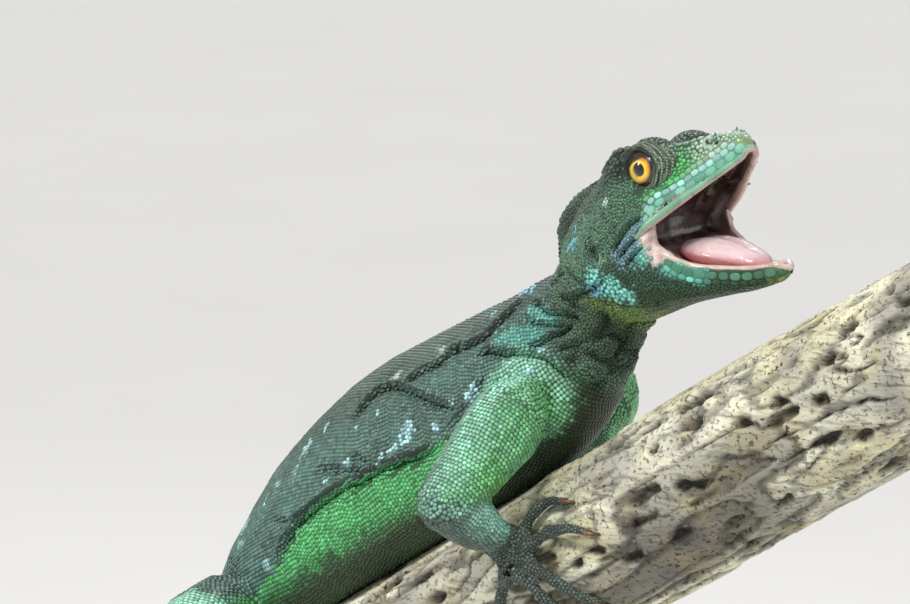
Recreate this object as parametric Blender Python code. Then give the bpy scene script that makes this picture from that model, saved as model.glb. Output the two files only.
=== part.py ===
"""A green basilisk, life size, gaping on a short cut length of branch over a plain display stand.

The animal is laid out in millimetres in a working frame: +X towards its head, +Y to its left,
+Z up. Three small frames sit in that one: along the perch, along the head and along the lower jaw.
The finished pieces are in metres, with the middle of the base's underside at the origin.
"""

import math

import bmesh
import bpy
import numpy as np
from mathutils import Vector
from mathutils.bvhtree import BVHTree

MM = 0.001
GAP = 0.3  # between pieces that touch

# Stand, in the working frame: the base lies this far under its origin
STAND_DROP = 345.0
STAND_X = -8.0
BASE_LENGTH = 190.0
BASE_WIDTH = 116.0
BASE_THICKNESS = 10.0
BASE_CORNER = 14.0
BASE_EDGE = 1.2
SOCKET_DEPTH = 6.0
ROD_RADIUS = 4.0
ROD_X = {"stand_rod_front": 36.0, "stand_rod_rear": -62.0}

# Perch: a straight branch climbing towards the head
PERCH_PITCH = math.radians(31.1)
PERCH_TOP = np.array([-28.7, 0.0, -59.9])  # a point on its top line, where s and h are 0
PERCH_RADIUS = 15.0
PERCH_REAR = -92.0
PERCH_FRONT = 163.0
PERCH_SIDES = 18
PERCH_STEP = 16.0

# Head and lower jaw
HEAD_PITCH = math.radians(36.0)
SNOUT_TIP = np.array([68.3, 0.0, 34.8])
JAW_TIP = np.array([77.1, 0.0, 16.7])
EYE_BACK, EYE_UP, EYE_OUT = 16.2, 6.9, 5.2
EYE_RADIUS = 4.4
EYE_AIM = (0.36, 0.10, 0.93)  # forward, up, outward
LID_THICKNESS = 0.6
LID_OPENING = 2.75

# Low crest of pointed scales down the back and the first length of the tail
CREST_PITCH = 2.8
CREST_HEIGHT = 1.25
CREST_FRONT = 80.0
CREST_REAR = -30.0
TAIL_CREST_LENGTH = 110.0

# Tail: it leaves the pelvis at TAIL_START along the perch
TAIL_START = -16.0
TAIL_ROOT_HEIGHT = 6.3
TAIL_LENGTH = 412.0
TAIL_SIDES = 10
TAIL_RINGS = 38
TAIL_BENDS = (
    # distance from the root, pitch below level, turn to the left, both in degrees
    (0.0, 31.1, 0.0),
    (74.0, 31.1, 0.0),
    (104.0, 40.0, 4.0),
    (150.0, 56.0, 14.0),
    (205.0, 63.0, 10.0),
    (265.0, 57.0, -12.0),
    (325.0, 41.0, -26.0),
    (375.0, 20.0, -24.0),
    (TAIL_LENGTH, 4.0, -14.0),
)
TAIL_SIZES = (
    # distance from the root, half depth, half width
    (0.0, 6.6, 6.0),
    (14.0, 6.3, 5.6),
    (40.0, 5.6, 4.6),
    (80.0, 5.0, 3.8),
    (150.0, 3.9, 2.8),
    (230.0, 2.7, 2.0),
    (310.0, 1.75, 1.4),
    (370.0, 1.1, 1.0),
    (404.0, 0.6, 0.6),
    (TAIL_LENGTH, 0.35, 0.35),
)
TAIL_SETTLE = ((0.0, 0.0), (40.0, -0.9), (TAIL_LENGTH, -0.9))  # how it sinks onto the branch

ALONG = np.array([math.cos(PERCH_PITCH), 0.0, math.sin(PERCH_PITCH)])
ABOVE = np.array([-math.sin(PERCH_PITCH), 0.0, math.cos(PERCH_PITCH)])
LEFT = np.array([0.0, 1.0, 0.0])
HEAD_ALONG = np.array([math.cos(HEAD_PITCH), 0.0, math.sin(HEAD_PITCH)])
HEAD_ABOVE = np.array([-math.sin(HEAD_PITCH), 0.0, math.cos(HEAD_PITCH)])

# Trunk and neck, by distance s along the perch: top, underside and half width above its top line
TRUNK = (
    (-34.0, 10.8, 0.6, 4.8),
    (-29.0, 12.6, -0.8, 6.6),
    (-24.4, 15.3, -1.5, 8.8),
    (-18.4, 19.2, -2.0, 10.8),
    (-9.0, 23.8, -2.4, 12.4),
    (2.0, 28.4, -2.6, 14.0),
    (12.6, 31.0, -2.6, 15.4),
    (26.0, 33.3, -2.2, 16.2),
    (38.0, 34.0, -1.8, 15.8),
    (49.0, 33.3, -0.9, 15.0),
    (60.0, 32.7, 0.0, 13.8),
    (71.0, 32.0, 2.2, 11.2),
    (78.2, 31.8, 5.2, 9.4),
    (83.5, 31.8, 8.8, 8.3),
    (88.0, 32.2, 12.0, 7.9),
    (91.4, 33.0, 14.2, 8.1),
    (94.5, 34.0, 15.8, 8.6),
    (98.6, 34.5, 16.2, 9.0),
    (103.0, 33.0, 16.6, 8.6),
)
TRUNK_DEPTH = 30.0
# Where the guide lines run: share of the half width, and of the depth down from the back
TRUNK_GUIDES = ((0.0, 0.0), (0.40, 0.09), (0.78, 0.30), (1.0, 0.58), (0.84, 0.85), (0.40, 0.97), (0.0, 1.0))

# Upper head: distance back from the snout tip, then (out, up) of each guide line
HEAD = (
    # back    crown        canthus      brow face    cheek        lip          palate edge  palate
    (-0.7, (0, 2.5), (1.0, 2.3), (1.5, 1.7), (1.6, 1.0), (1.2, 0.2), (0.6, 0.3), (0, 0.5)),
    (0.2, (0, 3.9), (1.9, 3.6), (2.5, 2.6), (2.5, 1.2), (2.1, -0.6), (1.2, 0.1), (0, 0.5)),
    (1.8, (0, 5.0), (2.9, 4.9), (3.6, 3.6), (3.4, 1.5), (3.1, -0.9), (2.0, 0.3), (0, 0.9)),
    (3.6, (0, 5.7), (3.3, 6.0), (4.3, 4.6), (4.3, 1.8), (4.2, -1.2), (3.0, 0.5), (0, 1.4)),
    (5.6, (0, 6.2), (3.9, 6.5), (5.0, 4.9), (5.2, 2.0), (5.2, -1.4), (4.0, 0.7), (0, 1.8)),
    (8.0, (0, 6.9), (4.9, 7.0), (5.8, 5.2), (6.3, 2.2), (6.5, -1.7), (5.2, 0.8), (0, 2.2)),
    (10.5, (0, 7.9), (6.3, 7.9), (6.7, 5.8), (7.3, 2.4), (7.9, -1.9), (6.5, 0.8), (0, 2.4)),
    (13.0, (0, 9.2), (7.6, 9.8), (7.7, 6.8), (8.3, 2.7), (9.1, -2.2), (7.7, 0.7), (0, 2.4)),
    (16.0, (0, 10.6), (8.3, 11.3), (8.6, 7.4), (9.6, 2.8), (10.3, -2.5), (8.9, 0.5), (0, 2.2)),
    (19.0, (0, 11.4), (8.7, 12.4), (9.4, 7.6), (10.6, 2.6), (11.2, -2.8), (9.8, -0.2), (0, 1.6)),
    (22.0, (0, 11.9), (8.4, 12.1), (9.9, 7.2), (11.5, 2.1), (11.8, -3.6), (9.9, -2.0), (0, 0.0)),
    (25.5, (0, 12.3), (7.3, 11.3), (9.9, 6.6), (12.0, 1.4), (12.0, -5.2), (9.4, -5.6), (0, -4.6)),
    (29.0, (0, 12.0), (6.3, 10.3), (9.4, 6.2), (12.1, 0.8), (11.8, -6.6), (8.4, -9.4), (0, -9.6)),
    (33.0, (0, 11.8), (5.2, 10.2), (8.5, 6.0), (11.4, 0.2), (10.8, -6.6), (6.8, -9.8), (0, -10.6)),
    (37.0, (0, 11.2), (4.2, 9.6), (7.4, 5.4), (10.3, -0.6), (9.6, -6.6), (5.6, -9.4), (0, -10.4)),
    (42.0, (0, 9.6), (3.4, 8.0), (6.2, 4.2), (8.6, -1.2), (8.0, -6.0), (4.6, -8.4), (0, -9.4)),
    (46.5, (0, 7.4), (2.6, 6.0), (4.8, 3.0), (6.4, -1.4), (6.0, -5.0), (3.4, -7.0), (0, -7.8)),
)

# Lobe on the back of the head: distance back from the snout tip, top, half thickness
CREST_LOBE = (
    (26.0, 12.0, 1.0),
    (30.0, 12.8, 1.7),
    (35.0, 13.3, 2.0),
    (40.0, 13.2, 1.9),
    (44.0, 12.2, 1.6),
    (46.6, 10.3, 1.2),
    (48.2, 8.2, 0.7),
)
CREST_LOBE_FOOT = 4.0

# Lower jaw: distance back from its tip, then (out, up) of each guide line
JAW = (
    # back    floor        inner rim    rim          side         lower edge   keel
    (-0.2, (0, -0.6), (0.5, -0.5), (1.0, -0.4), (1.1, -1.0), (0.7, -1.5), (0, -1.7)),
    (0.8, (0, -0.7), (1.2, -0.2), (1.9, 0.0), (2.2, -1.2), (1.3, -2.6), (0, -2.9)),
    (3.6, (0, -1.9), (2.0, -0.9), (3.1, -0.6), (3.6, -2.0), (2.3, -3.8), (0, -4.3)),
    (7.0, (0, -2.3), (3.6, -1.3), (4.7, -1.0), (5.3, -2.9), (3.4, -5.0), (0, -5.6)),
    (10.5, (0, -2.5), (5.2, -1.4), (6.4, -1.1), (7.1, -3.4), (4.6, -5.9), (0, -6.6)),
    (14.5, (0, -2.5), (7.1, -1.2), (8.4, -0.9), (9.0, -3.6), (6.0, -6.9), (0, -7.7)),
    (18.0, (0, -2.2), (9.0, -0.3), (10.3, 0.4), (10.6, -3.4), (7.2, -7.8), (0, -8.8)),
    (21.5, (0, -1.2), (9.8, 0.9), (11.2, 1.8), (11.6, -3.0), (8.0, -8.6), (0, -9.9)),
    (25.5, (0, 0.6), (9.8, 1.8), (11.7, 2.2), (11.9, -3.0), (8.4, -9.4), (0, -11.8)),
    (30.0, (0, 1.6), (9.2, 2.0), (11.6, 1.4), (11.6, -3.8), (8.4, -10.6), (0, -13.9)),
    (35.0, (0, 1.0), (8.0, 1.0), (10.4, -0.2), (10.6, -5.2), (7.8, -11.8), (0, -15.4)),
    (40.0, (0, -1.0), (6.0, -1.4), (8.4, -3.0), (8.8, -7.0), (6.4, -12.2), (0, -15.2)),
)

# Skin that spans the corner of the mouth, in the head's frame: (back, out, up) and its thickness
CHEEK_CORNER = (
    (17.6, 10.6, -2.2),
    (22.6, 11.5, -2.4),
    (22.4, 11.4, -9.4),
    (17.5, 10.3, -9.0),
    (19.3, 10.9, -5.6),
)
CHEEK_THICKNESS = 1.6

# Tongue, in the lower jaw's frame: back, top, underside, half width
TONGUE = (
    (4.2, -0.5, -1.4, 1.0),
    (5.4, 0.4, -1.8, 2.4),
    (8.0, 1.6, -2.1, 3.8),
    (11.5, 2.6, -2.2, 4.8),
    (15.0, 2.9, -2.2, 5.2),
    (18.5, 2.5, -2.0, 4.8),
    (21.5, 1.7, -1.0, 3.6),
)

# Limbs on the animal's right, in the working frame: joint centres
SHOULDER, ELBOW, WRIST = (27.5, -9.5, -10.0), (26.0, -30.5, -27.8), (28.6, -17.6, -37.4)
HIP, KNEE, ANKLE = (-47.5, -6.0, -63.0), (-37.5, -41.0, -67.5), (-54.0, -21.0, -89.0)
# The palm and sole on the perch: s, degrees from its top, and height over its surface
PALM = ((61.6, 83.0, 2.3),)
SOLE = ((-36.0, 90.0, 3.4), (-25.0, 93.5, 2.3))
# Upper and lower length of each limb: share of that length, then half width and flatness there
UPPER_SIZES = {
    "arm": ((0.0, 3.2, 1.0), (0.16, 6.3, 1.0), (0.36, 7.1, 1.0), (0.6, 6.7, 0.95), (1.0, 5.5, 0.95)),
    "leg": ((0.0, 6.5, 1.0), (0.16, 8.8, 1.0), (0.36, 9.3, 1.0), (0.6, 8.6, 0.95), (1.0, 6.0, 0.95)),
}
LOWER_SIZES = {
    "arm": ((0.0, 5.4, 0.95), (0.3, 5.2, 0.95), (0.62, 4.0, 0.9), (0.8, 3.6, 0.75), (1.0, 4.3, 0.5)),
    "leg": ((0.0, 5.8, 0.95), (0.25, 5.6, 0.95), (0.55, 3.7, 0.9), (0.75, 3.3, 0.8), (1.0, 4.8, 0.45)),
}
UPPER_RINGS, LOWER_RINGS = 6, 10
# What the left limbs do otherwise: along the perch, the elbow or knee's height, and its spread
LEFT_REACH = {"arm": -14.0, "leg": -7.0}
LEFT_LIFT = {"arm": 7.5, "leg": -2.0}
LEFT_SPREAD = {"arm": 0.9, "leg": 1.0}
BEND_SHARE = {"arm": 1.5, "leg": 0.6}  # how far the elbow or knee follows the hand or foot

# Digits as routes round the perch on the right side: (s, degrees from its top)
FINGERS = (
    ((63.0, 74.0), (66.9, 63.0), (70.6, 58.5), (74.2, 63.0)),
    ((64.4, 79.5), (70.2, 79.0), (75.2, 83.0), (78.0, 90.0)),
    ((62.8, 86.0), (66.6, 102.0), (69.0, 119.0), (70.0, 133.0)),
    ((60.4, 90.0), (62.6, 106.0), (63.4, 123.0), (62.6, 139.0)),
    ((58.0, 88.5), (54.6, 97.0), (51.6, 107.0), (50.0, 116.0)),
)
TOES = (
    ((-25.0, 86.0), (-19.0, 80.0), (-14.0, 80.0), (-10.0, 84.0)),
    ((-23.0, 91.0), (-15.5, 90.0), (-9.0, 94.0), (-4.5, 101.0)),
    ((-22.0, 96.0), (-13.5, 101.0), (-5.5, 110.0), (-0.5, 121.0)),
    ((-22.5, 100.0), (-14.5, 113.0), (-7.5, 131.0), (-3.0, 150.0)),
    ((-29.0, 101.0), (-26.5, 113.0), (-25.5, 125.0), (-26.0, 136.0)),
)
FINGER_RADII, TOE_RADII = (1.75, 1.5, 1.35, 0.95), (2.0, 1.75, 1.55, 1.0)
FINGER_ARCH, TOE_ARCH = 1.2, 1.3
CLAW_LENGTH, CLAW_TIP = 3.6, 0.22
DIGIT_RINGS = 6

# Cuts across the trunk, by s along the perch, and along the tail, by distance from its root
TRUNK_CUTS = {"neck": 82.0, "chest": 42.0, "belly": -6.0}
TAIL_CUTS = (16.0, 92.0, 180.0, 280.0)
# On each limb: share of the upper length where it leaves the body, share of the lower length where
# the hand or foot starts, and the radius of the cut at the body, at the bend and at the wrist or ankle
LIMB_CUTS = {"arm": (0.56, 0.66, 11.0, 10.5, 5.5), "leg": (0.42, 0.56, 12.0, 22.0, 5.5)}
HEAD_CUT = ((18.0, 18.1), (60.0, -6.2))
JAW_CUT = ((33.0, 4.5), (58.6, 20.4))
CUT_REACH = 26.0  # half breadth of the cuts through the trunk and head

COLOURS = {
    "head": (0.16, 0.30, 0.20),
    "lower_jaw": (0.18, 0.38, 0.25),
    "tongue": (0.80, 0.52, 0.50),
    "eye": (0.75, 0.48, 0.05),
    "trunk": (0.13, 0.30, 0.22),
    "limb": (0.15, 0.40, 0.26),
    "digit": (0.14, 0.20, 0.15),
    "tail": (0.13, 0.24, 0.18),
    "perch": (0.55, 0.47, 0.36),
    "base": (0.05, 0.05, 0.05),
    "rod": (0.45, 0.45, 0.46),
}


def on_perch(s, h, out=0.0):
    """The working point s along the perch, h above its top line and out to the left."""
    return PERCH_TOP + s * ALONG + h * ABOVE + out * LEFT


def perch_radius(s, phi):
    """Radius of the slightly uneven branch, s along it and phi round from its top."""
    swell = 0.35 * math.sin(0.061 * s + 2.0 * phi) + 0.3 * math.sin(0.117 * s - 3.0 * phi + 1.0)
    under = 0.5 - 0.5 * math.cos(phi)
    return PERCH_RADIUS + swell * under


def round_perch(s, degrees, lift=0.0):
    """The point over the branch's surface; positive degrees go down its right side."""
    phi = math.radians(degrees)
    radius = perch_radius(s, phi) + lift
    return on_perch(s, radius * math.cos(phi) - PERCH_RADIUS, -radius * math.sin(phi))


def in_head(back, out, up):
    """The working point for a place in the head's frame."""
    return SNOUT_TIP - back * HEAD_ALONG + up * HEAD_ABOVE + out * LEFT


def in_jaw(back, out, up):
    """The working point for a place in the lower jaw's frame."""
    return JAW_TIP + np.array([-back, out, up])


def guide(keys, where):
    """Smooth values through keys (place, value, ...), read at each place asked for."""
    keys = np.array(keys, float)
    at, values = keys[:, 0], keys[:, 1:]
    slopes = np.gradient(values, at, axis=0)
    rows = []
    for place in np.atleast_1d(where):
        i = int(np.clip(np.searchsorted(at, place) - 1, 0, len(at) - 2))
        step = at[i + 1] - at[i]
        t = float(np.clip((place - at[i]) / step, 0.0, 1.0))
        rows.append(
            (2 * t**3 - 3 * t**2 + 1) * values[i]
            + (t**3 - 2 * t**2 + t) * step * slopes[i]
            + (3 * t**2 - 2 * t**3) * values[i + 1]
            + (t**3 - t**2) * step * slopes[i + 1]
        )
    return np.array(rows)


def smooth_path(points, count):
    """Evenly spaced points on a smooth curve through the given ones."""
    points = np.array(points, float)
    reach = np.concatenate([[0.0], np.cumsum(np.linalg.norm(np.diff(points, axis=0), axis=1))])
    return guide(np.column_stack([reach, points]), np.linspace(0.0, reach[-1], count))


def closed_curve(corners, steps=2):
    """A closed smooth curve through the corners, with a few points on each stretch."""
    corners = np.array(corners, float)
    count = len(corners)
    points = []
    for i in range(count):
        before, start, end, after = (corners[(i + k) % count] for k in (-1, 0, 1, 2))
        for step in range(steps):
            t = step / steps
            points.append(
                0.5
                * (
                    2 * start
                    + (end - before) * t
                    + (2 * before - 5 * start + 4 * end - after) * t**2
                    + (3 * start - before - 3 * end + after) * t**3
                )
            )
    return np.array(points)


def both_sides(half):
    """A whole ring of (out, up) from its left half, which starts and ends on the middle line."""
    return list(half) + [(-out, up) for out, up in reversed(half[1:-1])]


def mesh_object(name, points, faces):
    """A closed object from working points in millimetres, with its faces outward."""
    mesh = bpy.data.meshes.new(name)
    world = (np.array(points, float) + np.array([-STAND_X, 0.0, STAND_DROP])) * MM
    mesh.from_pydata(world.tolist(), [], [list(face) for face in faces])
    shape = bmesh.new()
    shape.from_mesh(mesh)
    bmesh.ops.triangulate(shape, faces=shape.faces)
    bmesh.ops.recalc_face_normals(shape, faces=shape.faces)
    shape.to_mesh(mesh)
    shape.free()
    made = bpy.data.objects.new(name, mesh)
    bpy.context.scene.collection.objects.link(made)
    return made


def loft(name, rings):
    """A closed skin over a row of rings with equal counts, each end closed by a fan."""
    rings = [np.array(ring, float) for ring in rings]
    sides = len(rings[0])
    points = [point for ring in rings for point in ring]
    faces = []
    for row in range(len(rings) - 1):
        for side in range(sides):
            here, beside = row * sides + side, row * sides + (side + 1) % sides
            faces.append((here, beside, beside + sides))
            faces.append((here, beside + sides, here + sides))
    for row in (0, len(rings) - 1):
        points.append(rings[row].mean(axis=0))
        middle = len(points) - 1
        for side in range(sides):
            faces.append((middle, row * sides + side, row * sides + (side + 1) % sides))
    return mesh_object(name, points, faces)


def tube(name, path, radii, sides, flat=None, up=ABOVE):
    """A round limb along a path; flat gives each place's thickness as a share of its width."""
    path = np.array(path, float)
    flat = np.ones(len(path)) if flat is None else flat
    heading = np.gradient(path, axis=0)
    rings = []
    for place, ahead, radius, share in zip(path, heading, radii, flat):
        ahead = ahead / np.linalg.norm(ahead)
        side = np.cross(ahead, up)
        side = side / np.linalg.norm(side)
        rise = np.cross(side, ahead)
        ring = []
        for k in range(sides):
            turn = 2 * math.pi * k / sides
            ring.append(place + radius * (math.cos(turn) * side + share * math.sin(turn) * rise))
        rings.append(ring)
    return loft(name, rings)


def ball(name, centre, radius, segments=14):
    """A round ball at a working point."""
    shape = bmesh.new()
    bmesh.ops.create_uvsphere(shape, u_segments=segments, v_segments=segments // 2, radius=radius)
    rows = [np.array(vertex.co) + np.array(centre) for vertex in shape.verts]
    faces = [[vertex.index for vertex in face.verts] for face in shape.faces]
    shape.free()
    return mesh_object(name, rows, faces)


def rod(name, start, end, radius, sides=14):
    """A straight round bar between two working points."""
    start, end = np.array(start, float), np.array(end, float)
    up = LEFT if abs((end - start)[1]) < 0.8 * np.linalg.norm(end - start) else ABOVE
    return tube(name, [start, end], [radius, radius], sides, up=up)


def applied(target, operation, others, solver="MANIFOLD"):
    """Joins or cuts the target with other closed objects, which are then removed."""
    group = bpy.data.collections.new(target.name + "_others")
    for other in others:
        group.objects.link(other)
    cut = target.modifiers.new("combine", "BOOLEAN")
    cut.operand_type = "COLLECTION"
    cut.collection = group
    cut.operation = operation
    cut.solver = solver
    graph = bpy.context.evaluated_depsgraph_get()
    mesh = bpy.data.meshes.new_from_object(target.evaluated_get(graph))
    target.modifiers.clear()
    target.data = mesh
    for other in others:
        bpy.data.objects.remove(other)
    bpy.data.collections.remove(group)
    return target


def loose_parts(whole):
    """The closed surfaces of an object, each as (points, faces) in metres."""
    shape = bmesh.new()
    shape.from_mesh(whole.data)
    bmesh.ops.triangulate(shape, faces=shape.faces)
    shape.verts.index_update()
    seen = set()
    parts = []
    for seed in shape.verts:
        if seed.index in seen:
            continue
        seen.add(seed.index)
        front, members = [seed], []
        while front:
            vertex = front.pop()
            members.append(vertex)
            for edge in vertex.link_edges:
                other = edge.other_vert(vertex)
                if other.index not in seen:
                    seen.add(other.index)
                    front.append(other)
        order = {vertex.index: k for k, vertex in enumerate(members)}
        rows = {face.index: [order[v.index] for v in face.verts] for v in members for face in v.link_faces}
        if rows:
            parts.append((np.array([vertex.co for vertex in members]), list(rows.values())))
    shape.free()
    return parts


def volume(points, faces):
    """Signed volume inside a closed surface."""
    corners = points[np.array(faces)]
    return float(np.einsum("ij,ij->i", corners[:, 0], np.cross(corners[:, 1], corners[:, 2])).sum() / 6)


def holds(part, point):
    """Whether a point in metres is inside a closed surface."""
    points, faces = part
    tree = BVHTree.FromPolygons(points.tolist(), faces)
    place, ahead = Vector(point), Vector((0.137, 0.211, 0.968)).normalized()
    crossings = 0
    while True:
        hit = tree.ray_cast(place, ahead)[0]
        if hit is None:
            return crossings % 2 == 1
        crossings += 1
        place = hit + ahead * 1e-6


def to_world(point):
    """A working point in metres, in the finished frame."""
    return tuple((np.array(point, float) + np.array([-STAND_X, 0.0, STAND_DROP])) * MM)


def named_object(name, points, faces, colour):
    """A finished piece from metres, shaded smooth with its own material."""
    mesh = bpy.data.meshes.new(name)
    mesh.from_pydata(points.tolist(), [], faces)
    made = bpy.data.objects.new(name, mesh)
    bpy.context.scene.collection.objects.link(made)
    dress(made, colour)
    return made


def dress(target, colour, roughness=0.55, metallic=0.0):
    """Gives a piece its own plain material and smooth shading."""
    material = bpy.data.materials.new(target.name)
    material.use_nodes = True
    shader = material.node_tree.nodes["Principled BSDF"]
    shader.inputs["Base Color"].default_value = (*COLOURS[colour], 1.0)
    shader.inputs["Roughness"].default_value = roughness
    shader.inputs["Metallic"].default_value = metallic
    target.data.materials.clear()
    target.data.materials.append(material)
    target.data.shade_smooth()
    target.data.set_sharp_from_angle(angle=math.radians(40.0))


def branch(name, grow=0.0):
    """The perch, or a copy of it grown all round."""
    count = int((PERCH_FRONT - PERCH_REAR) / PERCH_STEP) + 2
    rings = []
    for s in np.linspace(PERCH_REAR - grow, PERCH_FRONT + grow, count):
        turns = (360.0 * k / PERCH_SIDES for k in range(PERCH_SIDES))
        rings.append([round_perch(s, degrees, grow) for degrees in turns])
    return loft(name, rings)


def trunk():
    """Pelvis, belly, chest and neck in one skin."""
    stations = np.concatenate([np.arange(-34.0, 76.0, 6.0), np.arange(78.0, 103.5, 3.0)])
    rings = []
    for s, (top, under, width) in zip(stations, guide(TRUNK, stations)):
        half = [(width * out, top - (top - under) * down) for out, down in TRUNK_GUIDES]
        ring = closed_curve(both_sides(half))
        rings.append([on_perch(s, up, out) for out, up in ring])
    return loft("trunk", rings)


def upper_head():
    """Skull and upper jaw, from the snout to the nape."""
    keys = [[row[0]] + [value for corner in row[1:] for value in corner] for row in HEAD]
    stations = np.concatenate([[-0.7, -0.3], np.arange(0.4, 31.0, 2.4), np.arange(33.0, 46.6, 4.4)])
    rings = []
    for back, values in zip(stations, guide(keys, stations)):
        half = [tuple(corner) for corner in values.reshape(-1, 2)]
        ring = closed_curve(both_sides(half))
        rings.append([in_head(back, out, up) for out, up in ring])
    return loft("upper_head", rings)


def lower_jaw():
    """Lower jaw with the hollow of the mouth's floor, back to the throat."""
    keys = [[row[0]] + [value for corner in row[1:] for value in corner] for row in JAW]
    stations = np.concatenate([[-0.2, 0.4], np.arange(1.6, 40.1, 3.2)])
    rings = []
    for back, values in zip(stations, guide(keys, stations)):
        half = [tuple(corner) for corner in values.reshape(-1, 2)]
        ring = closed_curve(both_sides(half))
        rings.append([in_jaw(back, out, up) for out, up in ring])
    return loft("jaw", rings)


def cheek(side):
    """The fold of skin that spans one corner of the mouth."""
    rings = []
    for inward in (CHEEK_THICKNESS, 0.0):
        rings.append([in_head(back, side * (out - inward), up) for back, out, up in CHEEK_CORNER])
    return loft("cheek", rings)


def head_crest():
    """The small rounded lobe that stands on the back of the head."""
    stations = np.array([row[0] for row in CREST_LOBE])
    rings = []
    for back, (top, half) in zip(stations, guide(CREST_LOBE, stations)):
        corners = [(0.0, top), (0.55 * half, top - 0.7), (half, top - 2.6)]
        corners += [(1.6 * half, CREST_LOBE_FOOT), (0.0, CREST_LOBE_FOOT)]
        ring = closed_curve(both_sides(corners))
        rings.append([in_head(back, out, up) for out, up in ring])
    return loft("head_crest", rings)


def eye_centre(side):
    """Centre of an eyeball in the working frame."""
    return in_head(EYE_BACK, side * EYE_OUT, EYE_UP)


def eye_aim(side):
    """Unit direction in which an eye looks."""
    forward, up, out = EYE_AIM
    aim = forward * HEAD_ALONG + up * HEAD_ABOVE + side * out * LEFT
    return aim / np.linalg.norm(aim)


def tongue(name, grow=0.0):
    """The fleshy tongue, or a copy of it grown all round."""
    stations = np.array([4.2, 4.8, 6.0, 8.0, 10.0, 12.5, 15.0, 17.5, 20.0, 21.5])
    rings = []
    for back, (top, under, width) in zip(stations, guide(TONGUE, stations)):
        top, under, width = top + grow, under - grow, width + grow
        half = [(0.0, top), (0.62 * width, top - 0.15 * (top - under)), (width, 0.45 * top + 0.55 * under)]
        half += [(0.7 * width, under), (0.0, under)]
        ring = closed_curve(both_sides(half))
        rings.append([in_jaw(back, out, up) for out, up in ring])
    if grow:
        ends = grow * np.array([1.0, 0.0, 0.0])
        rings = [rings[0] + ends] + rings + [rings[-1] - ends]
    return loft(name, rings)


def mirrored(points, limb):
    """A limb's joint centres on the left, which reaches a little otherwise."""
    points = [np.array(point, float) * np.array([1.0, -1.0, 1.0]) for point in points]
    top, bend, end = points
    bend = bend * np.array([1.0, LEFT_SPREAD[limb], 1.0]) + np.array([0.0, 0.0, LEFT_LIFT[limb]])
    return [top, bend + BEND_SHARE[limb] * LEFT_REACH[limb] * ALONG, end + LEFT_REACH[limb] * ALONG]


def limb_joints(side, limb):
    """The three joint centres of a limb on one side."""
    right = (SHOULDER, ELBOW, WRIST) if limb == "arm" else (HIP, KNEE, ANKLE)
    return [np.array(point, float) for point in right] if side < 0 else mirrored(right, limb)


def limb_paths(side, limb):
    """Middle lines of a limb's upper length and of its lower length with the palm or sole."""
    top, bend, end = limb_joints(side, limb)
    reach = LEFT_REACH[limb] if side > 0 else 0.0
    lower = [bend, 0.5 * (bend + end), end]
    for s, degrees, lift in PALM if limb == "arm" else SOLE:
        lower.append(round_perch(s + reach, -side * degrees, lift))
    return smooth_path([top, bend], UPPER_RINGS), smooth_path(lower, LOWER_RINGS)


def limb_core(side, limb):
    """Upper and lower length of a limb, and the ball of the elbow or knee."""
    outward = np.array([0.0, side, 0.35])
    pieces = []
    for path, keys in zip(limb_paths(side, limb), (UPPER_SIZES[limb], LOWER_SIZES[limb])):
        sizes = guide(keys, np.linspace(0.0, 1.0, len(path)))
        pieces.append(tube("limb_core", path, sizes[:, 0], 10, flat=sizes[:, 1], up=outward))
    pieces.append(ball("joint", path[0], LOWER_SIZES[limb][0][1], 10))
    return pieces


def digit(route, side, reach, radii, arch):
    """One finger or toe with its claw, arched along the surface of the perch."""
    count = len(radii)
    lifts = [radii[0] + 0.6, radii[1] + arch, radii[2] + 0.55 * arch, radii[3] - 0.1]
    path = [round_perch(s + reach, -side * deg, lift) for (s, deg), lift in zip(route, lifts)]
    path = smooth_path(path, DIGIT_RINGS)
    shares = np.linspace(0.0, 1.0, DIGIT_RINGS)
    thick = guide(list(zip(np.linspace(0.0, 1.0, count), radii)), shares)[:, 0]
    knuckles = 1.0 + 0.09 * np.cos(4.0 * math.pi * shares)
    end, ahead = path[-1], path[-1] - path[-2]
    ahead = ahead / np.linalg.norm(ahead)
    s = (end - PERCH_TOP) @ ALONG
    axis_point = on_perch(s, -PERCH_RADIUS)
    outward = (end - axis_point) / np.linalg.norm(end - axis_point)
    claw = [
        end + 0.25 * CLAW_LENGTH * ahead + 0.45 * outward,
        end + 0.65 * CLAW_LENGTH * ahead + 0.35 * outward,
        end + CLAW_LENGTH * ahead - 0.35 * outward,
    ]
    path = np.vstack([path, claw])
    sizes = np.concatenate([thick * knuckles, [0.85, 0.55, CLAW_TIP]])
    return tube("digit", path, sizes, 6, up=outward)


def crest_scale(foot, ahead, up, height):
    """One pointed scale: a thin pyramid that leans back, its root sunk in the back."""
    side = np.cross(up, ahead)
    root = foot - 1.1 * up
    length, thick = 0.62 * CREST_PITCH, 0.55
    corners = [
        root + length * ahead + thick * side,
        root + length * ahead - thick * side,
        root - length * ahead - thick * side,
        root - length * ahead + thick * side,
        foot + height * up - 0.75 * length * ahead,
    ]
    faces = [(0, 1, 2), (0, 2, 3), (0, 4, 1), (1, 4, 2), (2, 4, 3), (3, 4, 0)]
    return mesh_object("crest_scale", corners, faces)


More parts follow.
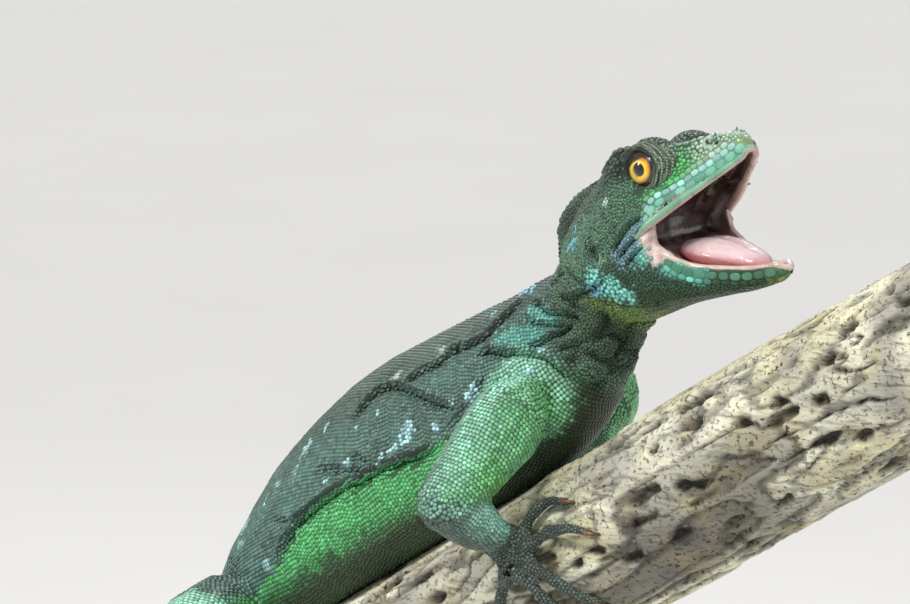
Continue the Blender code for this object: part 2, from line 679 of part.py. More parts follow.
def tail_line(count=170):
    """Middle line of the tail: points, headings and distances from its root."""
    reach = np.linspace(0.0, TAIL_LENGTH, count)
    pitch, turn = np.radians(guide(TAIL_BENDS, reach)).T
    heading = np.column_stack([-np.cos(pitch) * np.cos(turn), np.cos(pitch) * np.sin(turn), -np.sin(pitch)])
    steps = 0.5 * (heading[1:] + heading[:-1]) * np.diff(reach)[:, None]
    start = on_perch(TAIL_START, TAIL_ROOT_HEIGHT)
    settle = guide(TAIL_SETTLE, reach)
    points = np.vstack([start, start + np.cumsum(steps, axis=0)]) + settle * ABOVE
    return points, heading, reach


def tail_size(reach):
    """Half depth and half width of the tail at distances from its root."""
    return guide(TAIL_SIZES, reach)


def tail():
    """The whole tail, deeper than wide, thinning to a whip."""
    points, heading, reach = tail_line()
    picks = np.linspace(0, len(reach) - 1, TAIL_RINGS).astype(int)
    rings = []
    for i in picks:
        depth, width = tail_size(reach[i])[0]
        side = np.cross(heading[i], [0.0, 0.0, 1.0])
        side = side / np.linalg.norm(side)
        rise = np.cross(side, heading[i])
        ring = []
        for k in range(TAIL_SIDES):
            turn = 2 * math.pi * k / TAIL_SIDES
            ring.append(points[i] + width * math.cos(turn) * side + depth * math.sin(turn) * rise)
        rings.append(ring)
    return loft("tail", rings)


def back_crest():
    """The low row of pointed scales from the nape to the first part of the tail."""
    draw = np.random.default_rng(7)
    scales = []
    for s in np.arange(CREST_REAR, CREST_FRONT, CREST_PITCH):
        top = guide(TRUNK, s)[0, 0]
        slope = (guide(TRUNK, s + 1.0)[0, 0] - guide(TRUNK, s - 1.0)[0, 0]) / 2.0
        ahead = (ALONG + slope * ABOVE) / math.hypot(1.0, slope)
        up = np.cross(ahead, LEFT)
        height = CREST_HEIGHT * draw.uniform(0.85, 1.1)
        scales.append(crest_scale(on_perch(s, top), ahead, up, height))
    points, heading, reach = tail_line()
    for distance in np.arange(18.0, TAIL_CREST_LENGTH, 1.25 * CREST_PITCH):
        i = int(np.searchsorted(reach, distance))
        side = np.cross(heading[i], [0.0, 0.0, 1.0])
        up = np.cross(side / np.linalg.norm(side), heading[i])
        height = CREST_HEIGHT * (0.95 - 0.5 * distance / TAIL_CREST_LENGTH)
        foot = points[i] + tail_size(reach[i])[0, 0] * up
        scales.append(crest_scale(foot, -heading[i], up, height))
    return scales


def disc(centre, normal, radius):
    """A thin round cutter that parts two neighbours by the gap."""
    normal = np.array(normal, float) / np.linalg.norm(normal)
    centre = np.array(centre, float)
    up = LEFT if abs(normal[1]) < 0.8 else ABOVE
    ends = [centre - 0.5 * GAP * normal, centre + 0.5 * GAP * normal]
    return tube("disc", ends, [radius, radius], 12, up=up)


def slab(low, high):
    """A flat cutter as thick as the gap, between two (x, z) working points across the head."""
    (x0, z0), (x1, z1) = low, high
    ahead = np.array([x1 - x0, 0.0, z1 - z0])
    up = np.cross(ahead / np.linalg.norm(ahead), LEFT)
    rings = []
    for x, z in (low, high):
        ring = []
        for out, rise in ((-1, -0.5), (1, -0.5), (1, 0.5), (-1, 0.5)):
            ring.append(np.array([x, 0.0, z]) + out * CUT_REACH * LEFT + rise * GAP * up)
        rings.append(ring)
    return loft("slab", rings)


def cutters():
    """Every thin cut that parts the animal into its named pieces."""
    found = []
    for s in TRUNK_CUTS.values():
        found.append(disc(on_perch(s, 0.5 * TRUNK_DEPTH), ALONG, CUT_REACH))
    points, heading, reach = tail_line()
    for distance in TAIL_CUTS:
        i = int(np.searchsorted(reach, distance))
        found.append(disc(points[i], heading[i], 2.2 * tail_size(distance)[0, 0]))
    found.append(slab(*HEAD_CUT))
    found.append(slab(*JAW_CUT))
    for side in (-1, 1):
        for limb in ("arm", "leg"):
            upper, lower = limb_paths(side, limb)
            root, end, root_radius, bend_radius, end_radius = LIMB_CUTS[limb]
            ahead, onward = upper[-1] - upper[0], lower[2] - lower[0]
            fold = ahead / np.linalg.norm(ahead) + onward / np.linalg.norm(onward)
            found.append(disc(upper[0] + root * ahead, ahead, root_radius))
            found.append(disc(upper[-1], fold, bend_radius))
            i = round(end * (LOWER_RINGS - 1))
            found.append(disc(lower[i], lower[i + 1] - lower[i - 1], end_radius))
    return found


def flesh():
    """The whole animal in one closed skin, before it is parted."""
    pieces = [tail(), upper_head(), lower_jaw(), head_crest()]
    for side in (-1, 1):
        pieces.append(cheek(side))
        pieces.append(ball("lids", eye_centre(side), EYE_RADIUS + GAP + LID_THICKNESS))
        for limb in ("arm", "leg"):
            pieces += limb_core(side, limb)
            reach = LEFT_REACH[limb] if side > 0 else 0.0
            routes, radii, arch = (FINGERS, FINGER_RADII, FINGER_ARCH)
            if limb == "leg":
                routes, radii, arch = (TOES, TOE_RADII, TOE_ARCH)
            for route in routes:
                pieces.append(digit(route, side, reach, radii, arch))
    pieces += back_crest()
    whole = applied(trunk(), "UNION", pieces)
    hollows = [branch("grown_perch", GAP), tongue("grown_tongue", GAP)]
    for side in (-1, 1):
        centre = eye_centre(side)
        hollows.append(ball("socket", centre, EYE_RADIUS + GAP))
        hollows.append(rod("lid_opening", centre, centre + 9.0 * eye_aim(side), LID_OPENING, 14))
        hollows.append(ball("nostril", in_head(2.9, side * 4.0, 4.6), 0.75, 6))
        hollows.append(ball("ear", in_head(31.9, side * 13.0, 0.0), 1.9, 8))
    whole = applied(whole, "DIFFERENCE", hollows)
    return applied(whole, "DIFFERENCE", cutters())


def body_pieces():
    """Name, colour and a point well inside each part of the animal."""
    points, _, reach = tail_line()
    ends = list(TAIL_CUTS) + [TAIL_LENGTH]
    found = [
        ("head", "head", in_head(28.0, 0.0, 8.0)),
        ("lower_jaw", "lower_jaw", in_jaw(14.5, 0.0, -5.0)),
        ("neck", "trunk", on_perch(88.0, 24.0)),
        ("chest", "trunk", on_perch(60.0, 18.0)),
        ("belly", "trunk", on_perch(20.0, 18.0)),
        ("pelvis", "trunk", on_perch(-15.0, 9.0)),
    ]
    for k in range(len(TAIL_CUTS)):
        middle = 0.5 * (ends[k] + ends[k + 1])
        found.append((f"tail_{k + 1}", "tail", points[int(np.searchsorted(reach, middle))]))
    names = {"arm": ("upper_arm", "forearm", "hand"), "leg": ("thigh", "shank", "foot")}
    for side, suffix in ((-1, "right"), (1, "left")):
        for limb in ("arm", "leg"):
            upper, lower = limb_paths(side, limb)
            root, end = LIMB_CUTS[limb][:2]
            seeds = (
                upper[0] + 0.5 * (root + 1.0) * (upper[-1] - upper[0]),
                lower[round(0.5 * end * (LOWER_RINGS - 1))],
                lower[round(0.5 * (end + 1.0) * (LOWER_RINGS - 1))],
            )
            for name, seed in zip(names[limb], seeds):
                colour = "digit" if name in ("hand", "foot") else "limb"
                found.append((f"{name}_{suffix}", colour, seed))
    return found


def part_animal():
    """Parts the skin into its named pieces; scraps that hold no named place are dropped."""
    whole = flesh()
    parts = loose_parts(whole)
    bpy.data.objects.remove(whole)
    for name, colour, seed in body_pieces():
        owners = [part for part in parts if holds(part, to_world(seed))]
        owner = max(owners, key=lambda part: volume(*part))
        named_object(name, *owner, colour)


def eyes_and_tongue():
    """The pieces that sit in the head."""
    for side, name in ((-1, "eye_right"), (1, "eye_left")):
        dress(ball(name, eye_centre(side), EYE_RADIUS), "eye", roughness=0.08)
    dress(tongue("tongue"), "tongue", roughness=0.25)


def base():
    """A flat plate with rounded corners and a socket for each rod."""
    x0, x1 = -0.5 * BASE_LENGTH, 0.5 * BASE_LENGTH
    corners = []
    for sx, sy in ((1, 1), (-1, 1), (-1, -1), (1, -1)):
        middle = (sx * (x1 - BASE_CORNER), sy * (0.5 * BASE_WIDTH - BASE_CORNER))
        first = {(1, 1): 0, (-1, 1): 90, (-1, -1): 180, (1, -1): 270}[(sx, sy)]
        for k in range(5):
            turn = math.radians(first + 22.5 * k)
            arc = (BASE_CORNER * math.cos(turn), BASE_CORNER * math.sin(turn))
            corners.append((middle[0] + arc[0], middle[1] + arc[1]))
    corners = np.array(corners)
    rings = []
    for height, shrink in ((0.0, 0.0), (BASE_THICKNESS - BASE_EDGE, 0.0), (BASE_THICKNESS, BASE_EDGE)):
        inward = corners * (1.0 - 2.0 * shrink / np.array([BASE_LENGTH, BASE_WIDTH]))
        rings.append([(STAND_X + x, y, height - STAND_DROP) for x, y in inward])
    plate = loft("stand_base", rings)
    floor = BASE_THICKNESS - SOCKET_DEPTH - STAND_DROP
    sockets = []
    for x in ROD_X.values():
        sockets.append(rod("socket", (x, 0, floor), (x, 0, floor + 20.0), ROD_RADIUS + GAP))
    dress(applied(plate, "DIFFERENCE", sockets), "base", roughness=0.4)


def rods():
    """Two uprights, each cut to the branch's underside."""
    floor = BASE_THICKNESS - SOCKET_DEPTH - STAND_DROP + GAP
    for name, x in ROD_X.items():
        s = (x - PERCH_TOP[0] - PERCH_RADIUS * math.sin(PERCH_PITCH)) / math.cos(PERCH_PITCH)
        middle = on_perch(s, -PERCH_RADIUS)
        upright = rod(name, (x, 0, floor), (x, 0, middle[2]), ROD_RADIUS)
        dress(applied(upright, "DIFFERENCE", [branch("grown_perch", GAP)]), "rod", 0.35, 1.0)


def clear_scene():
    """Empties the scene."""
    for thing in list(bpy.data.objects):
        bpy.data.objects.remove(thing)


def main():
    clear_scene()
    part_animal()
    eyes_and_tongue()
    dress(branch("perch_branch"), "perch", roughness=0.85)
    base()
    rods()


main()
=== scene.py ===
"""The looks of the green basilisk: one skin with its folds, the scales on it, eyes and lids, claws,
tongue, the weathered branch and the stand, in a plain studio.

Shapes are worked out in millimetres in the model's working frame: +X towards the head, +Y to the
animal's left, +Z up. `metres` and `working` turn one frame into the other.
"""

import logging
import math
from dataclasses import dataclass, field
from enum import Enum
from typing import Callable, Optional, Sequence, Union

import bmesh
import bpy
import numpy as np
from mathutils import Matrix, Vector
from mathutils.bvhtree import BVHTree
from mathutils.kdtree import KDTree


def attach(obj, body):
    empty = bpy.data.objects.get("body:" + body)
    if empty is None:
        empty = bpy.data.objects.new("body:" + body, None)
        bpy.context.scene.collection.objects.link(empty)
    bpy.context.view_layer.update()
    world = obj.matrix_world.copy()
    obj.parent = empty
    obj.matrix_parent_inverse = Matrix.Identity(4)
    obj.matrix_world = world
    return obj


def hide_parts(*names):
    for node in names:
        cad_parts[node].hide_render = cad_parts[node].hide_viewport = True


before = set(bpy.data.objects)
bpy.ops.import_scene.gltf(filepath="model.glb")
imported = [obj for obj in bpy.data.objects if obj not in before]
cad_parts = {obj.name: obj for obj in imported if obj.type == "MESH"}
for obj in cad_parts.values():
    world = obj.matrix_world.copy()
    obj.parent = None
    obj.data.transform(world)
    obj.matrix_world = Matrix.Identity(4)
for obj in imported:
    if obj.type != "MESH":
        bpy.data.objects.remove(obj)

Array = np.ndarray
Place = tuple[float, float, float]

log = logging.getLogger("basilisk")

MM = 0.001
FRAME_ORIGIN = np.array([-8.0, 0.0, -345.0])  # the finished frame's origin, in the working frame
MIRROR = np.array([1.0, -1.0, 1.0])
LEFT = np.array([0.0, 1.0, 0.0])
UP = np.array([0.0, 0.0, 1.0])
SEED = 20
PATCH = 0.003  # breadth of one scale on its unwrap
BODY = ("chest", "belly", "pelvis")
TAILS = ("tail_1", "tail_2", "tail_3", "tail_4")
LID_REACH = 6.6  # how far from an eye's centre its lids may go


# Frames and plain maths


def metres(points: Array) -> Array:
    """Working millimetres to the finished frame's metres."""
    return (np.asarray(points, float) - FRAME_ORIGIN) * MM


def working(points: Array) -> Array:
    """The finished frame's metres to working millimetres."""
    return np.asarray(points, float) / MM + FRAME_ORIGIN


def paint(red: int, green: int, blue: int) -> Array:
    """A colour as a paint chart gives it, 0 to 255, as linear light."""
    share = np.array([red, green, blue], float) / 255.0
    return np.where(share <= 0.04045, share / 12.92, ((share + 0.055) / 1.055) ** 2.4)


def unit(vectors: Array) -> Array:
    """Each vector at length one."""
    return vectors / np.maximum(np.linalg.norm(vectors, axis=-1, keepdims=True), 1e-9)


def ramp(low: float, high: float, value: Array) -> Array:
    """Smooth step from 0 at low to 1 at high; low may be the greater."""
    t = np.clip((value - low) / (high - low), 0.0, 1.0)
    return t * t * (3.0 - 2.0 * t)


def guide(keys: Sequence, where: Union[float, Array]) -> Array:
    """Smooth values through keys (place, value, ...), read at each place asked for."""
    keys = np.asarray(keys, float)
    at, values = keys[:, 0], keys[:, 1:]
    slopes = np.gradient(values, at, axis=0)
    where = np.atleast_1d(np.asarray(where, float))
    i = np.clip(np.searchsorted(at, where) - 1, 0, len(at) - 2)
    step = (at[i + 1] - at[i])[:, None]
    t = np.clip((where - at[i])[:, None] / step, 0.0, 1.0)
    return (
        (2 * t**3 - 3 * t**2 + 1) * values[i]
        + (t**3 - 2 * t**2 + t) * step * slopes[i]
        + (3 * t**2 - 2 * t**3) * values[i + 1]
        + (t**3 - t**2) * step * slopes[i + 1]
    )


def reach_along(points: Array) -> Array:
    """Distance of each point from the first, along the line through them."""
    return np.concatenate([[0.0], np.cumsum(np.linalg.norm(np.diff(points, axis=0), axis=1))])


def smooth_path(points: Sequence, count: int) -> Array:
    """Evenly spaced points on a smooth curve through the given ones."""
    points = np.asarray(points, float)
    reach = reach_along(points)
    return guide(np.column_stack([reach, points]), np.linspace(0.0, reach[-1], count))


def spaced(points: Array, pitch: float) -> Array:
    """Points a pitch apart along a smooth curve through the given ones."""
    length = reach_along(np.asarray(points, float))[-1]
    return smooth_path(points, max(int(round(length / pitch)), 1) + 1)


def lattice(cells: Array, seed: int) -> Array:
    """A fixed draw from -1 to 1 for each whole-numbered cell."""
    cells = cells.astype(np.int64)
    mixed = seed * 1442695 + 374761393 * cells[..., 0]
    for k in range(1, cells.shape[-1]):
        mixed = mixed + (668265263, 1274126177)[k - 1] * cells[..., k]
    mixed = (mixed ^ (mixed >> 13)) * 1274126177 & 0x7FFFFFFF
    mixed = (mixed ^ (mixed >> 16)) * 668265263 & 0x7FFFFFFF
    return ((mixed >> 7) & 0xFFFF) / 32767.5 - 1.0


def noise(points: Array, size: Union[float, Sequence[float]], seed: int = 0) -> Array:
    """Smooth noise from -1 to 1 whose lumps are about size millimetres across."""
    scaled = np.asarray(points, float) / np.asarray(size, float)
    base = np.floor(scaled)
    t = scaled - base
    t = t * t * (3.0 - 2.0 * t)
    axes = scaled.shape[-1]
    total = np.zeros(scaled.shape[:-1])
    for corner in range(2**axes):
        bits = np.array([(corner >> k) & 1 for k in range(axes)])
        weight = np.prod(np.where(bits == 1, t, 1.0 - t), axis=-1)
        total += weight * lattice(base + bits, seed)
    return total


def rough(points: Array, size: Union[float, Sequence[float]], seed: int = 0, layers: int = 3) -> Array:
    """Noise with finer noise on it."""
    size = np.asarray(size, float)
    total = sum(noise(points, size / 2**k, seed + 7 * k) / 2**k for k in range(layers))
    return total / 1.6


def cells(points: Array, seed: int) -> tuple[Array, Array]:
    """Cell pattern on a plane whose cells are about one across.

    Args:
        points: places on the plane, in cells.
        seed: which pattern.

    Returns:
        Distance to the nearest cell's centre, and a draw for that cell.
    """
    base = np.floor(points)
    best, draw = np.full(len(points), 9.0), np.zeros(len(points))
    for dx in (-1, 0, 1):
        for dy in (-1, 0, 1):
            cell = base + (dx, dy)
            shift = np.stack([lattice(cell, seed), lattice(cell, seed + 1)], axis=1)
            far = np.linalg.norm(cell + 0.5 + 0.42 * shift - points, axis=1)
            draw = np.where(far < best, lattice(cell, seed + 2), draw)
            best = np.minimum(best, far)
    return best, draw


def to_line(points: Array, line: Array) -> tuple[Array, Array, Array]:
    """Nearest place on a line of straight stretches.

    Args:
        points: places asked about.
        line: the corners of the line.

    Returns:
        The distance, the share of the line's length there, and the nearest point, for each place.
    """
    reach = reach_along(line)
    best = np.full(len(points), 1e9)
    share = np.zeros(len(points))
    nearest = np.zeros((len(points), 3))
    for k in range(len(line) - 1):
        step = line[k + 1] - line[k]
        t = np.clip((points - line[k]) @ step / max(step @ step, 1e-9), 0.0, 1.0)
        foot = line[k] + t[:, None] * step
        far = np.linalg.norm(points - foot, axis=1)
        closer = far < best
        best = np.where(closer, far, best)
        share = np.where(closer, (reach[k] + t * (reach[k + 1] - reach[k])) / max(reach[-1], 1e-9), share)
        nearest = np.where(closer[:, None], foot, nearest)
    return best, share, nearest


def folded(points: Array) -> Array:
    """The same places, all on the animal's right."""
    turned = np.array(points, float)
    turned[:, 1] = -np.abs(turned[:, 1])
    return turned


# Where things lie on the model


@dataclass(frozen=True)
class Tilted:
    """A frame that is turned up towards the head by its pitch."""

    pitch: float

    @property
    def along(self) -> Array:
        """Unit direction towards the head."""
        return np.array([math.cos(self.pitch), 0.0, math.sin(self.pitch)])

    @property
    def above(self) -> Array:
        """Unit direction out of its upper side."""
        return np.array([-math.sin(self.pitch), 0.0, math.cos(self.pitch)])

    def turned(self, points: Array) -> Array:
        """Working points measured along the frame's own directions."""
        return points @ np.column_stack([self.along, LEFT, self.above])


@dataclass(frozen=True)
class PerchPlan(Tilted):
    """The branch's own frame: s along it, h above its top line, degrees round it to the right."""

    pitch: float = math.radians(31.1)
    top: Place = (-28.7, 0.0, -59.9)
    radius: float = 15.0
    rear: float = -92.0
    front: float = 163.0

    def on(self, s: Array, h: Array, out: Array = 0.0) -> Array:
        """The working point s along, h above the top line and out to the left."""
        s, h, out = (np.asarray(value, float)[..., None] for value in (s, h, out))
        return np.array(self.top) + s * self.along + h * self.above + out * LEFT

    def place(self, points: Array) -> tuple[Array, Array]:
        """The s and h of working points."""
        offset = points - np.array(self.top)
        return offset @ self.along, offset @ self.above

    def radius_at(self, s: Array, phi: Array) -> Array:
        """Radius of the slightly uneven branch, s along it and phi round from its top."""
        swell = 0.35 * np.sin(0.061 * s + 2.0 * phi) + 0.3 * np.sin(0.117 * s - 3.0 * phi + 1.0)
        return self.radius + swell * (0.5 - 0.5 * np.cos(phi))

    def round(self, s: Array, degrees: Array, lift: Array = 0.0) -> Array:
        """The working point over the branch's surface; positive degrees go down its right side."""
        phi = np.radians(degrees)
        radius = self.radius_at(s, phi) + lift
        return self.on(s, radius * np.cos(phi) - self.radius, -radius * np.sin(phi))


@dataclass(frozen=True)
class HeadPlan(Tilted):
    """The frames of the upper head and of the lower jaw, and where the eyes and openings are."""

    pitch: float = math.radians(36.0)
    snout_tip: Place = (68.3, 0.0, 34.8)
    jaw_tip: Place = (77.1, 0.0, 16.7)
    eye_place: Place = (16.2, 5.2, 6.9)  # back, out, up
    eye_radius: float = 4.4
    gaze: Place = (0.10, -0.01, 1.0)  # forward, up, outward
    nostril: Place = (2.9, 4.0, 4.6)
    ear: Place = (31.9, 11.4, -0.6)
    lip: tuple = (
        # back, then out and up of the upper lip's edge, and up of the roof of the mouth
        (-0.7, 1.2, 0.2, 0.5),
        (0.2, 2.1, -0.6, 0.5),
        (1.8, 3.1, -0.9, 0.9),
        (3.6, 4.2, -1.2, 1.4),
        (5.6, 5.2, -1.4, 1.8),
        (8.0, 6.5, -1.7, 2.2),
        (10.5, 7.9, -1.9, 2.4),
        (13.0, 9.1, -2.2, 2.4),
        (16.0, 10.3, -2.5, 2.2),
        (19.0, 11.2, -2.8, 1.6),
        (22.0, 11.8, -3.6, 0.0),
        (25.5, 12.0, -5.2, -4.6),
        (29.0, 11.8, -6.6, -9.6),
    )
    rim: tuple = (
        # back from the jaw's tip, then out and up of its rim, and up of the floor of the mouth
        (-0.2, 1.0, -0.4, -0.6),
        (0.8, 1.9, 0.0, -0.7),
        (3.6, 3.1, -0.6, -1.9),
        (7.0, 4.7, -1.0, -2.3),
        (10.5, 6.4, -1.1, -2.5),
        (14.5, 8.4, -0.9, -2.5),
        (18.0, 10.3, 0.4, -2.2),
        (21.5, 11.2, 1.8, -1.2),
        (25.5, 11.7, 2.2, 0.6),
        (30.0, 11.6, 1.4, 1.6),
    )

    def at(self, back: Array, out: Array, up: Array) -> Array:
        """The working point for a place in the upper head's frame."""
        back, out, up = (np.asarray(value, float)[..., None] for value in (back, out, up))
        return np.array(self.snout_tip) - back * self.along + up * self.above + out * LEFT

    def in_jaw(self, back: Array, out: Array, up: Array) -> Array:
        """The working point for a place in the lower jaw's frame."""
        back, out, up = (np.asarray(value, float)[..., None] for value in (back, out, up))
        return np.array(self.jaw_tip) + np.concatenate([-back, out, up], axis=-1)

    def place(self, points: Array) -> tuple[Array, Array, Array]:
        """Back, out and up of working points, in the upper head's frame."""
        offset = points - np.array(self.snout_tip)
        return -(offset @ self.along), offset[:, 1], offset @ self.above

    def place_in_jaw(self, points: Array) -> tuple[Array, Array, Array]:
        """Back, out and up of working points, in the lower jaw's frame."""
        offset = points - np.array(self.jaw_tip)
        return -offset[:, 0], offset[:, 1], offset[:, 2]

    def eye(self, side: int) -> Array:
        """Centre of one eyeball; side is -1 on the right and 1 on the left."""
        back, out, up = self.eye_place
        return self.at(back, side * out, up)

    def aim(self, side: int) -> Array:
        """Unit direction in which one eye looks."""
        forward, up, out = self.gaze
        return unit(forward * self.along + up * self.above + side * out * LEFT)

    def eye_axes(self, side: int) -> tuple[Array, Array, Array]:
        """One eye's aim, with the directions to its front corner and to its upper lid."""
        aim = self.aim(side)
        front = unit(self.along - (self.along @ aim) * aim)
        over = unit(self.above - (self.above @ aim) * aim - (self.above @ front) * front)
        return aim, front, over


@dataclass(frozen=True)
class TailPlan:
    """The tail's middle line and its half depth and half width along it."""

    perch: PerchPlan
    start: float = -16.0
    root_height: float = 6.3
    length: float = 412.0
    settle: tuple = ((0.0, 0.0), (40.0, -0.9), (412.0, -0.9))
    bends: tuple = (
        # distance from the root, pitch below level, turn to the left, both in degrees
        (0.0, 31.1, 0.0),
        (74.0, 31.1, 0.0),
        (104.0, 40.0, 4.0),
        (150.0, 56.0, 14.0),
        (205.0, 63.0, 10.0),
        (265.0, 57.0, -12.0),
        (325.0, 41.0, -26.0),
        (375.0, 20.0, -24.0),
        (412.0, 4.0, -14.0),
    )
    sizes: tuple = (
        # distance from the root, half depth, half width
        (0.0, 6.6, 6.0),
        (14.0, 6.3, 5.6),
        (40.0, 5.6, 4.6),
        (80.0, 5.0, 3.8),
        (150.0, 3.9, 2.8),
        (230.0, 2.7, 2.0),
        (310.0, 1.75, 1.4),
        (370.0, 1.1, 1.0),
        (404.0, 0.6, 0.6),
        (412.0, 0.35, 0.35),
    )

    def line(self, count: int = 620) -> tuple[Array, Array, Array]:
        """Points of the middle line, the headings there, and the distances from the root."""
        reach = np.linspace(0.0, self.length, count)
        pitch, turn = np.radians(guide(self.bends, reach)).T
        level = np.cos(pitch)
        heading = np.column_stack([-level * np.cos(turn), level * np.sin(turn), -np.sin(pitch)])
        steps = 0.5 * (heading[1:] + heading[:-1]) * np.diff(reach)[:, None]
        start = self.perch.on(self.start, self.root_height)
        points = np.vstack([start, start + np.cumsum(steps, axis=0)])
        return points + guide(self.settle, reach) * self.perch.above, heading, reach


class Limb(Enum):
    """The two kinds of limb."""

    ARM = "arm"
    LEG = "leg"


@dataclass(frozen=True)
class LimbPlan:
    """Joint centres, digits and pieces of one kind of limb, on the animal's right."""

    kind: Limb
    joints: tuple
    sole: tuple  # s, degrees and height over the branch
    routes: tuple  # of each digit: s, degrees
    radii: tuple
    arch: float
    names: tuple
    left_reach: float
    left_lift: float
    left_spread: float
    bend_share: float

    def centres(self, side: int) -> list[Array]:
        """The three joint centres on one side."""
        top, bend, end = (np.array(joint, float) for joint in self.joints)
        if side < 0:
            return [top, bend, end]
        along = Model.perch.along
        bend = bend * np.array([1.0, -self.left_spread, 1.0]) + self.left_lift * UP
        return [top * MIRROR, bend + self.bend_share * self.left_reach * along, end * MIRROR + self.left_reach * along]

    def shift(self, side: int) -> float:
        """How far along the branch this side's digits are from the right side's."""
        return self.left_reach if side > 0 else 0.0

    def paths(self, side: int) -> tuple[Array, Array]:
        """Middle lines of the upper length, and of the lower length with the palm or sole."""
        top, bend, end = self.centres(side)
        lower = [bend, 0.5 * (bend + end), end]
        for s, degrees, lift in self.sole:
            lower.append(Model.perch.round(s + self.shift(side), -side * degrees, lift))
        return smooth_path([top, bend], 12), smooth_path(lower, 20)

    def digit(self, route: tuple, side: int, count: int = 22) -> tuple[Array, Array]:
        """Path and radii of one digit without its claw."""
        radii = self.radii
        lifts = [radii[0] + 0.6, radii[1] + self.arch, radii[2] + 0.55 * self.arch, radii[3] - 0.1]
        path = [
            Model.perch.round(s + self.shift(side), -side * degrees, lift)
            for (s, degrees), lift in zip(route, lifts)
        ]
        shares = np.linspace(0.0, 1.0, count)
        thick = guide(list(zip(np.linspace(0.0, 1.0, len(radii)), radii)), shares)[:, 0]
        return smooth_path(path, count), thick * (1.0 + 0.10 * np.cos(4.0 * math.pi * shares))


class Model:
    """The plans that every piece is laid out on."""

    perch = PerchPlan()
    head = HeadPlan()
    tail = TailPlan(perch)
    arm = LimbPlan(
        kind=Limb.ARM,
        joints=((27.5, -9.5, -10.0), (26.0, -30.5, -27.8), (28.6, -17.6, -37.4)),
        sole=((61.6, 83.0, 2.3),),
        routes=(
            ((63.0, 74.0), (66.9, 63.0), (70.6, 58.5), (74.2, 63.0)),
            ((64.4, 79.5), (70.2, 79.0), (75.2, 83.0), (78.0, 90.0)),
            ((62.8, 86.0), (66.6, 102.0), (69.0, 119.0), (70.0, 133.0)),
            ((60.4, 90.0), (62.6, 106.0), (63.4, 123.0), (62.6, 139.0)),
            ((58.0, 88.5), (54.6, 97.0), (51.6, 107.0), (50.0, 116.0)),
        ),
        radii=(1.3, 1.05, 0.92, 0.66),
        arch=1.2,
        names=("upper_arm", "forearm", "hand"),
        left_reach=-14.0,
        left_lift=7.5,
        left_spread=0.9,
        bend_share=1.5,
    )
    leg = LimbPlan(
        kind=Limb.LEG,
        joints=((-47.5, -6.0, -63.0), (-37.5, -41.0, -67.5), (-54.0, -21.0, -89.0)),
        sole=((-36.0, 90.0, 3.4), (-25.0, 93.5, 2.3)),
        routes=(
            ((-25.0, 86.0), (-19.0, 80.0), (-14.0, 80.0), (-10.0, 84.0)),
            ((-23.0, 91.0), (-15.5, 90.0), (-9.0, 94.0), (-4.5, 101.0)),
            ((-22.0, 96.0), (-13.5, 101.0), (-5.5, 110.0), (-0.5, 121.0)),
            ((-22.5, 100.0), (-14.5, 113.0), (-7.5, 131.0), (-3.0, 150.0)),
            ((-29.0, 101.0), (-26.5, 113.0), (-25.5, 125.0), (-26.0, 136.0)),
        ),
        radii=(1.5, 1.3, 1.1, 0.75),
        arch=1.3,
        names=("thigh", "shank", "foot"),
        left_reach=-7.0,
        left_lift=-2.0,
        left_spread=1.0,
        bend_share=0.6,
    )


SIDES = ((-1, "right"), (1, "left"))
LIMBS = (Model.arm, Model.leg)


# Meshes


def bare_selection() -> None:
    """Deselects everything, so that an operator acts only on what is picked next."""
    bpy.ops.object.select_all(action="DESELECT")
    bpy.context.view_layer.objects.active = None


def pick(*objects: bpy.types.Object) -> bpy.types.Object:
    """Selects these objects alone and makes the first one active.

    Args:
        objects: what to select.

    Returns:
        The first of them.
    """
    bare_selection()
    for thing in objects:
        thing.select_set(True)
    bpy.context.view_layer.objects.active = objects[0]
    return objects[0]


def apply_modifier(target: bpy.types.Object, kind: str, **settings: object) -> None:
    """Adds one modifier to a piece and applies it.

    Args:
        target: the piece.
        kind: the modifier's type.
        settings: its values.
    """
    pick(target)
    bpy.ops.object.modifier_add(type=kind)
    modifier = target.modifiers[-1]
    for name, value in settings.items():
        setattr(modifier, name, value)
    bpy.ops.object.modifier_apply(modifier=modifier.name)


def worked(target: bpy.types.Object, step: Callable, **settings: object) -> None:
    """Takes one step on all of a piece's mesh.

    Args:
        target: the piece.
        step: the mesh operator.
        settings: its values.
    """
    pick(target)
    bpy.ops.object.mode_set(mode="EDIT")
    bpy.ops.mesh.select_all(action="SELECT")
    step(**settings)
    bpy.ops.object.mode_set(mode="OBJECT")


def outward(target: bpy.types.Object) -> None:
    """Turns all of a closed piece's faces outward."""
    worked(target, bpy.ops.mesh.normals_make_consistent, inside=False)


def new_piece(name: str, points: Array, faces: Sequence) -> bpy.types.Object:
    """A mesh object at the origin from working points.

    Args:
        name: the piece's name.
        points: its corners in working millimetres.
        faces: lists of corner numbers, turned so that the faces look outward.

    Returns:
        The object, shaded smooth.
    """
    mesh = bpy.data.meshes.new(name)
    mesh.from_pydata(metres(points).tolist(), [], [[int(corner) for corner in face] for face in faces])
    mesh.shade_smooth()
    made = bpy.data.objects.new(name, mesh)
    bpy.context.scene.collection.objects.link(made)
    return made


def corners_of(target: bpy.types.Object) -> Array:
    """A piece's corners in working millimetres."""
    flat = np.empty(len(target.data.vertices) * 3)
    target.data.vertices.foreach_get("co", flat)
    return working(flat.reshape(-1, 3))


def move_corners(target: bpy.types.Object, points: Array) -> None:
    """Puts a piece's corners at new working points."""
    target.data.vertices.foreach_set("co", metres(points).ravel())
    target.data.update()


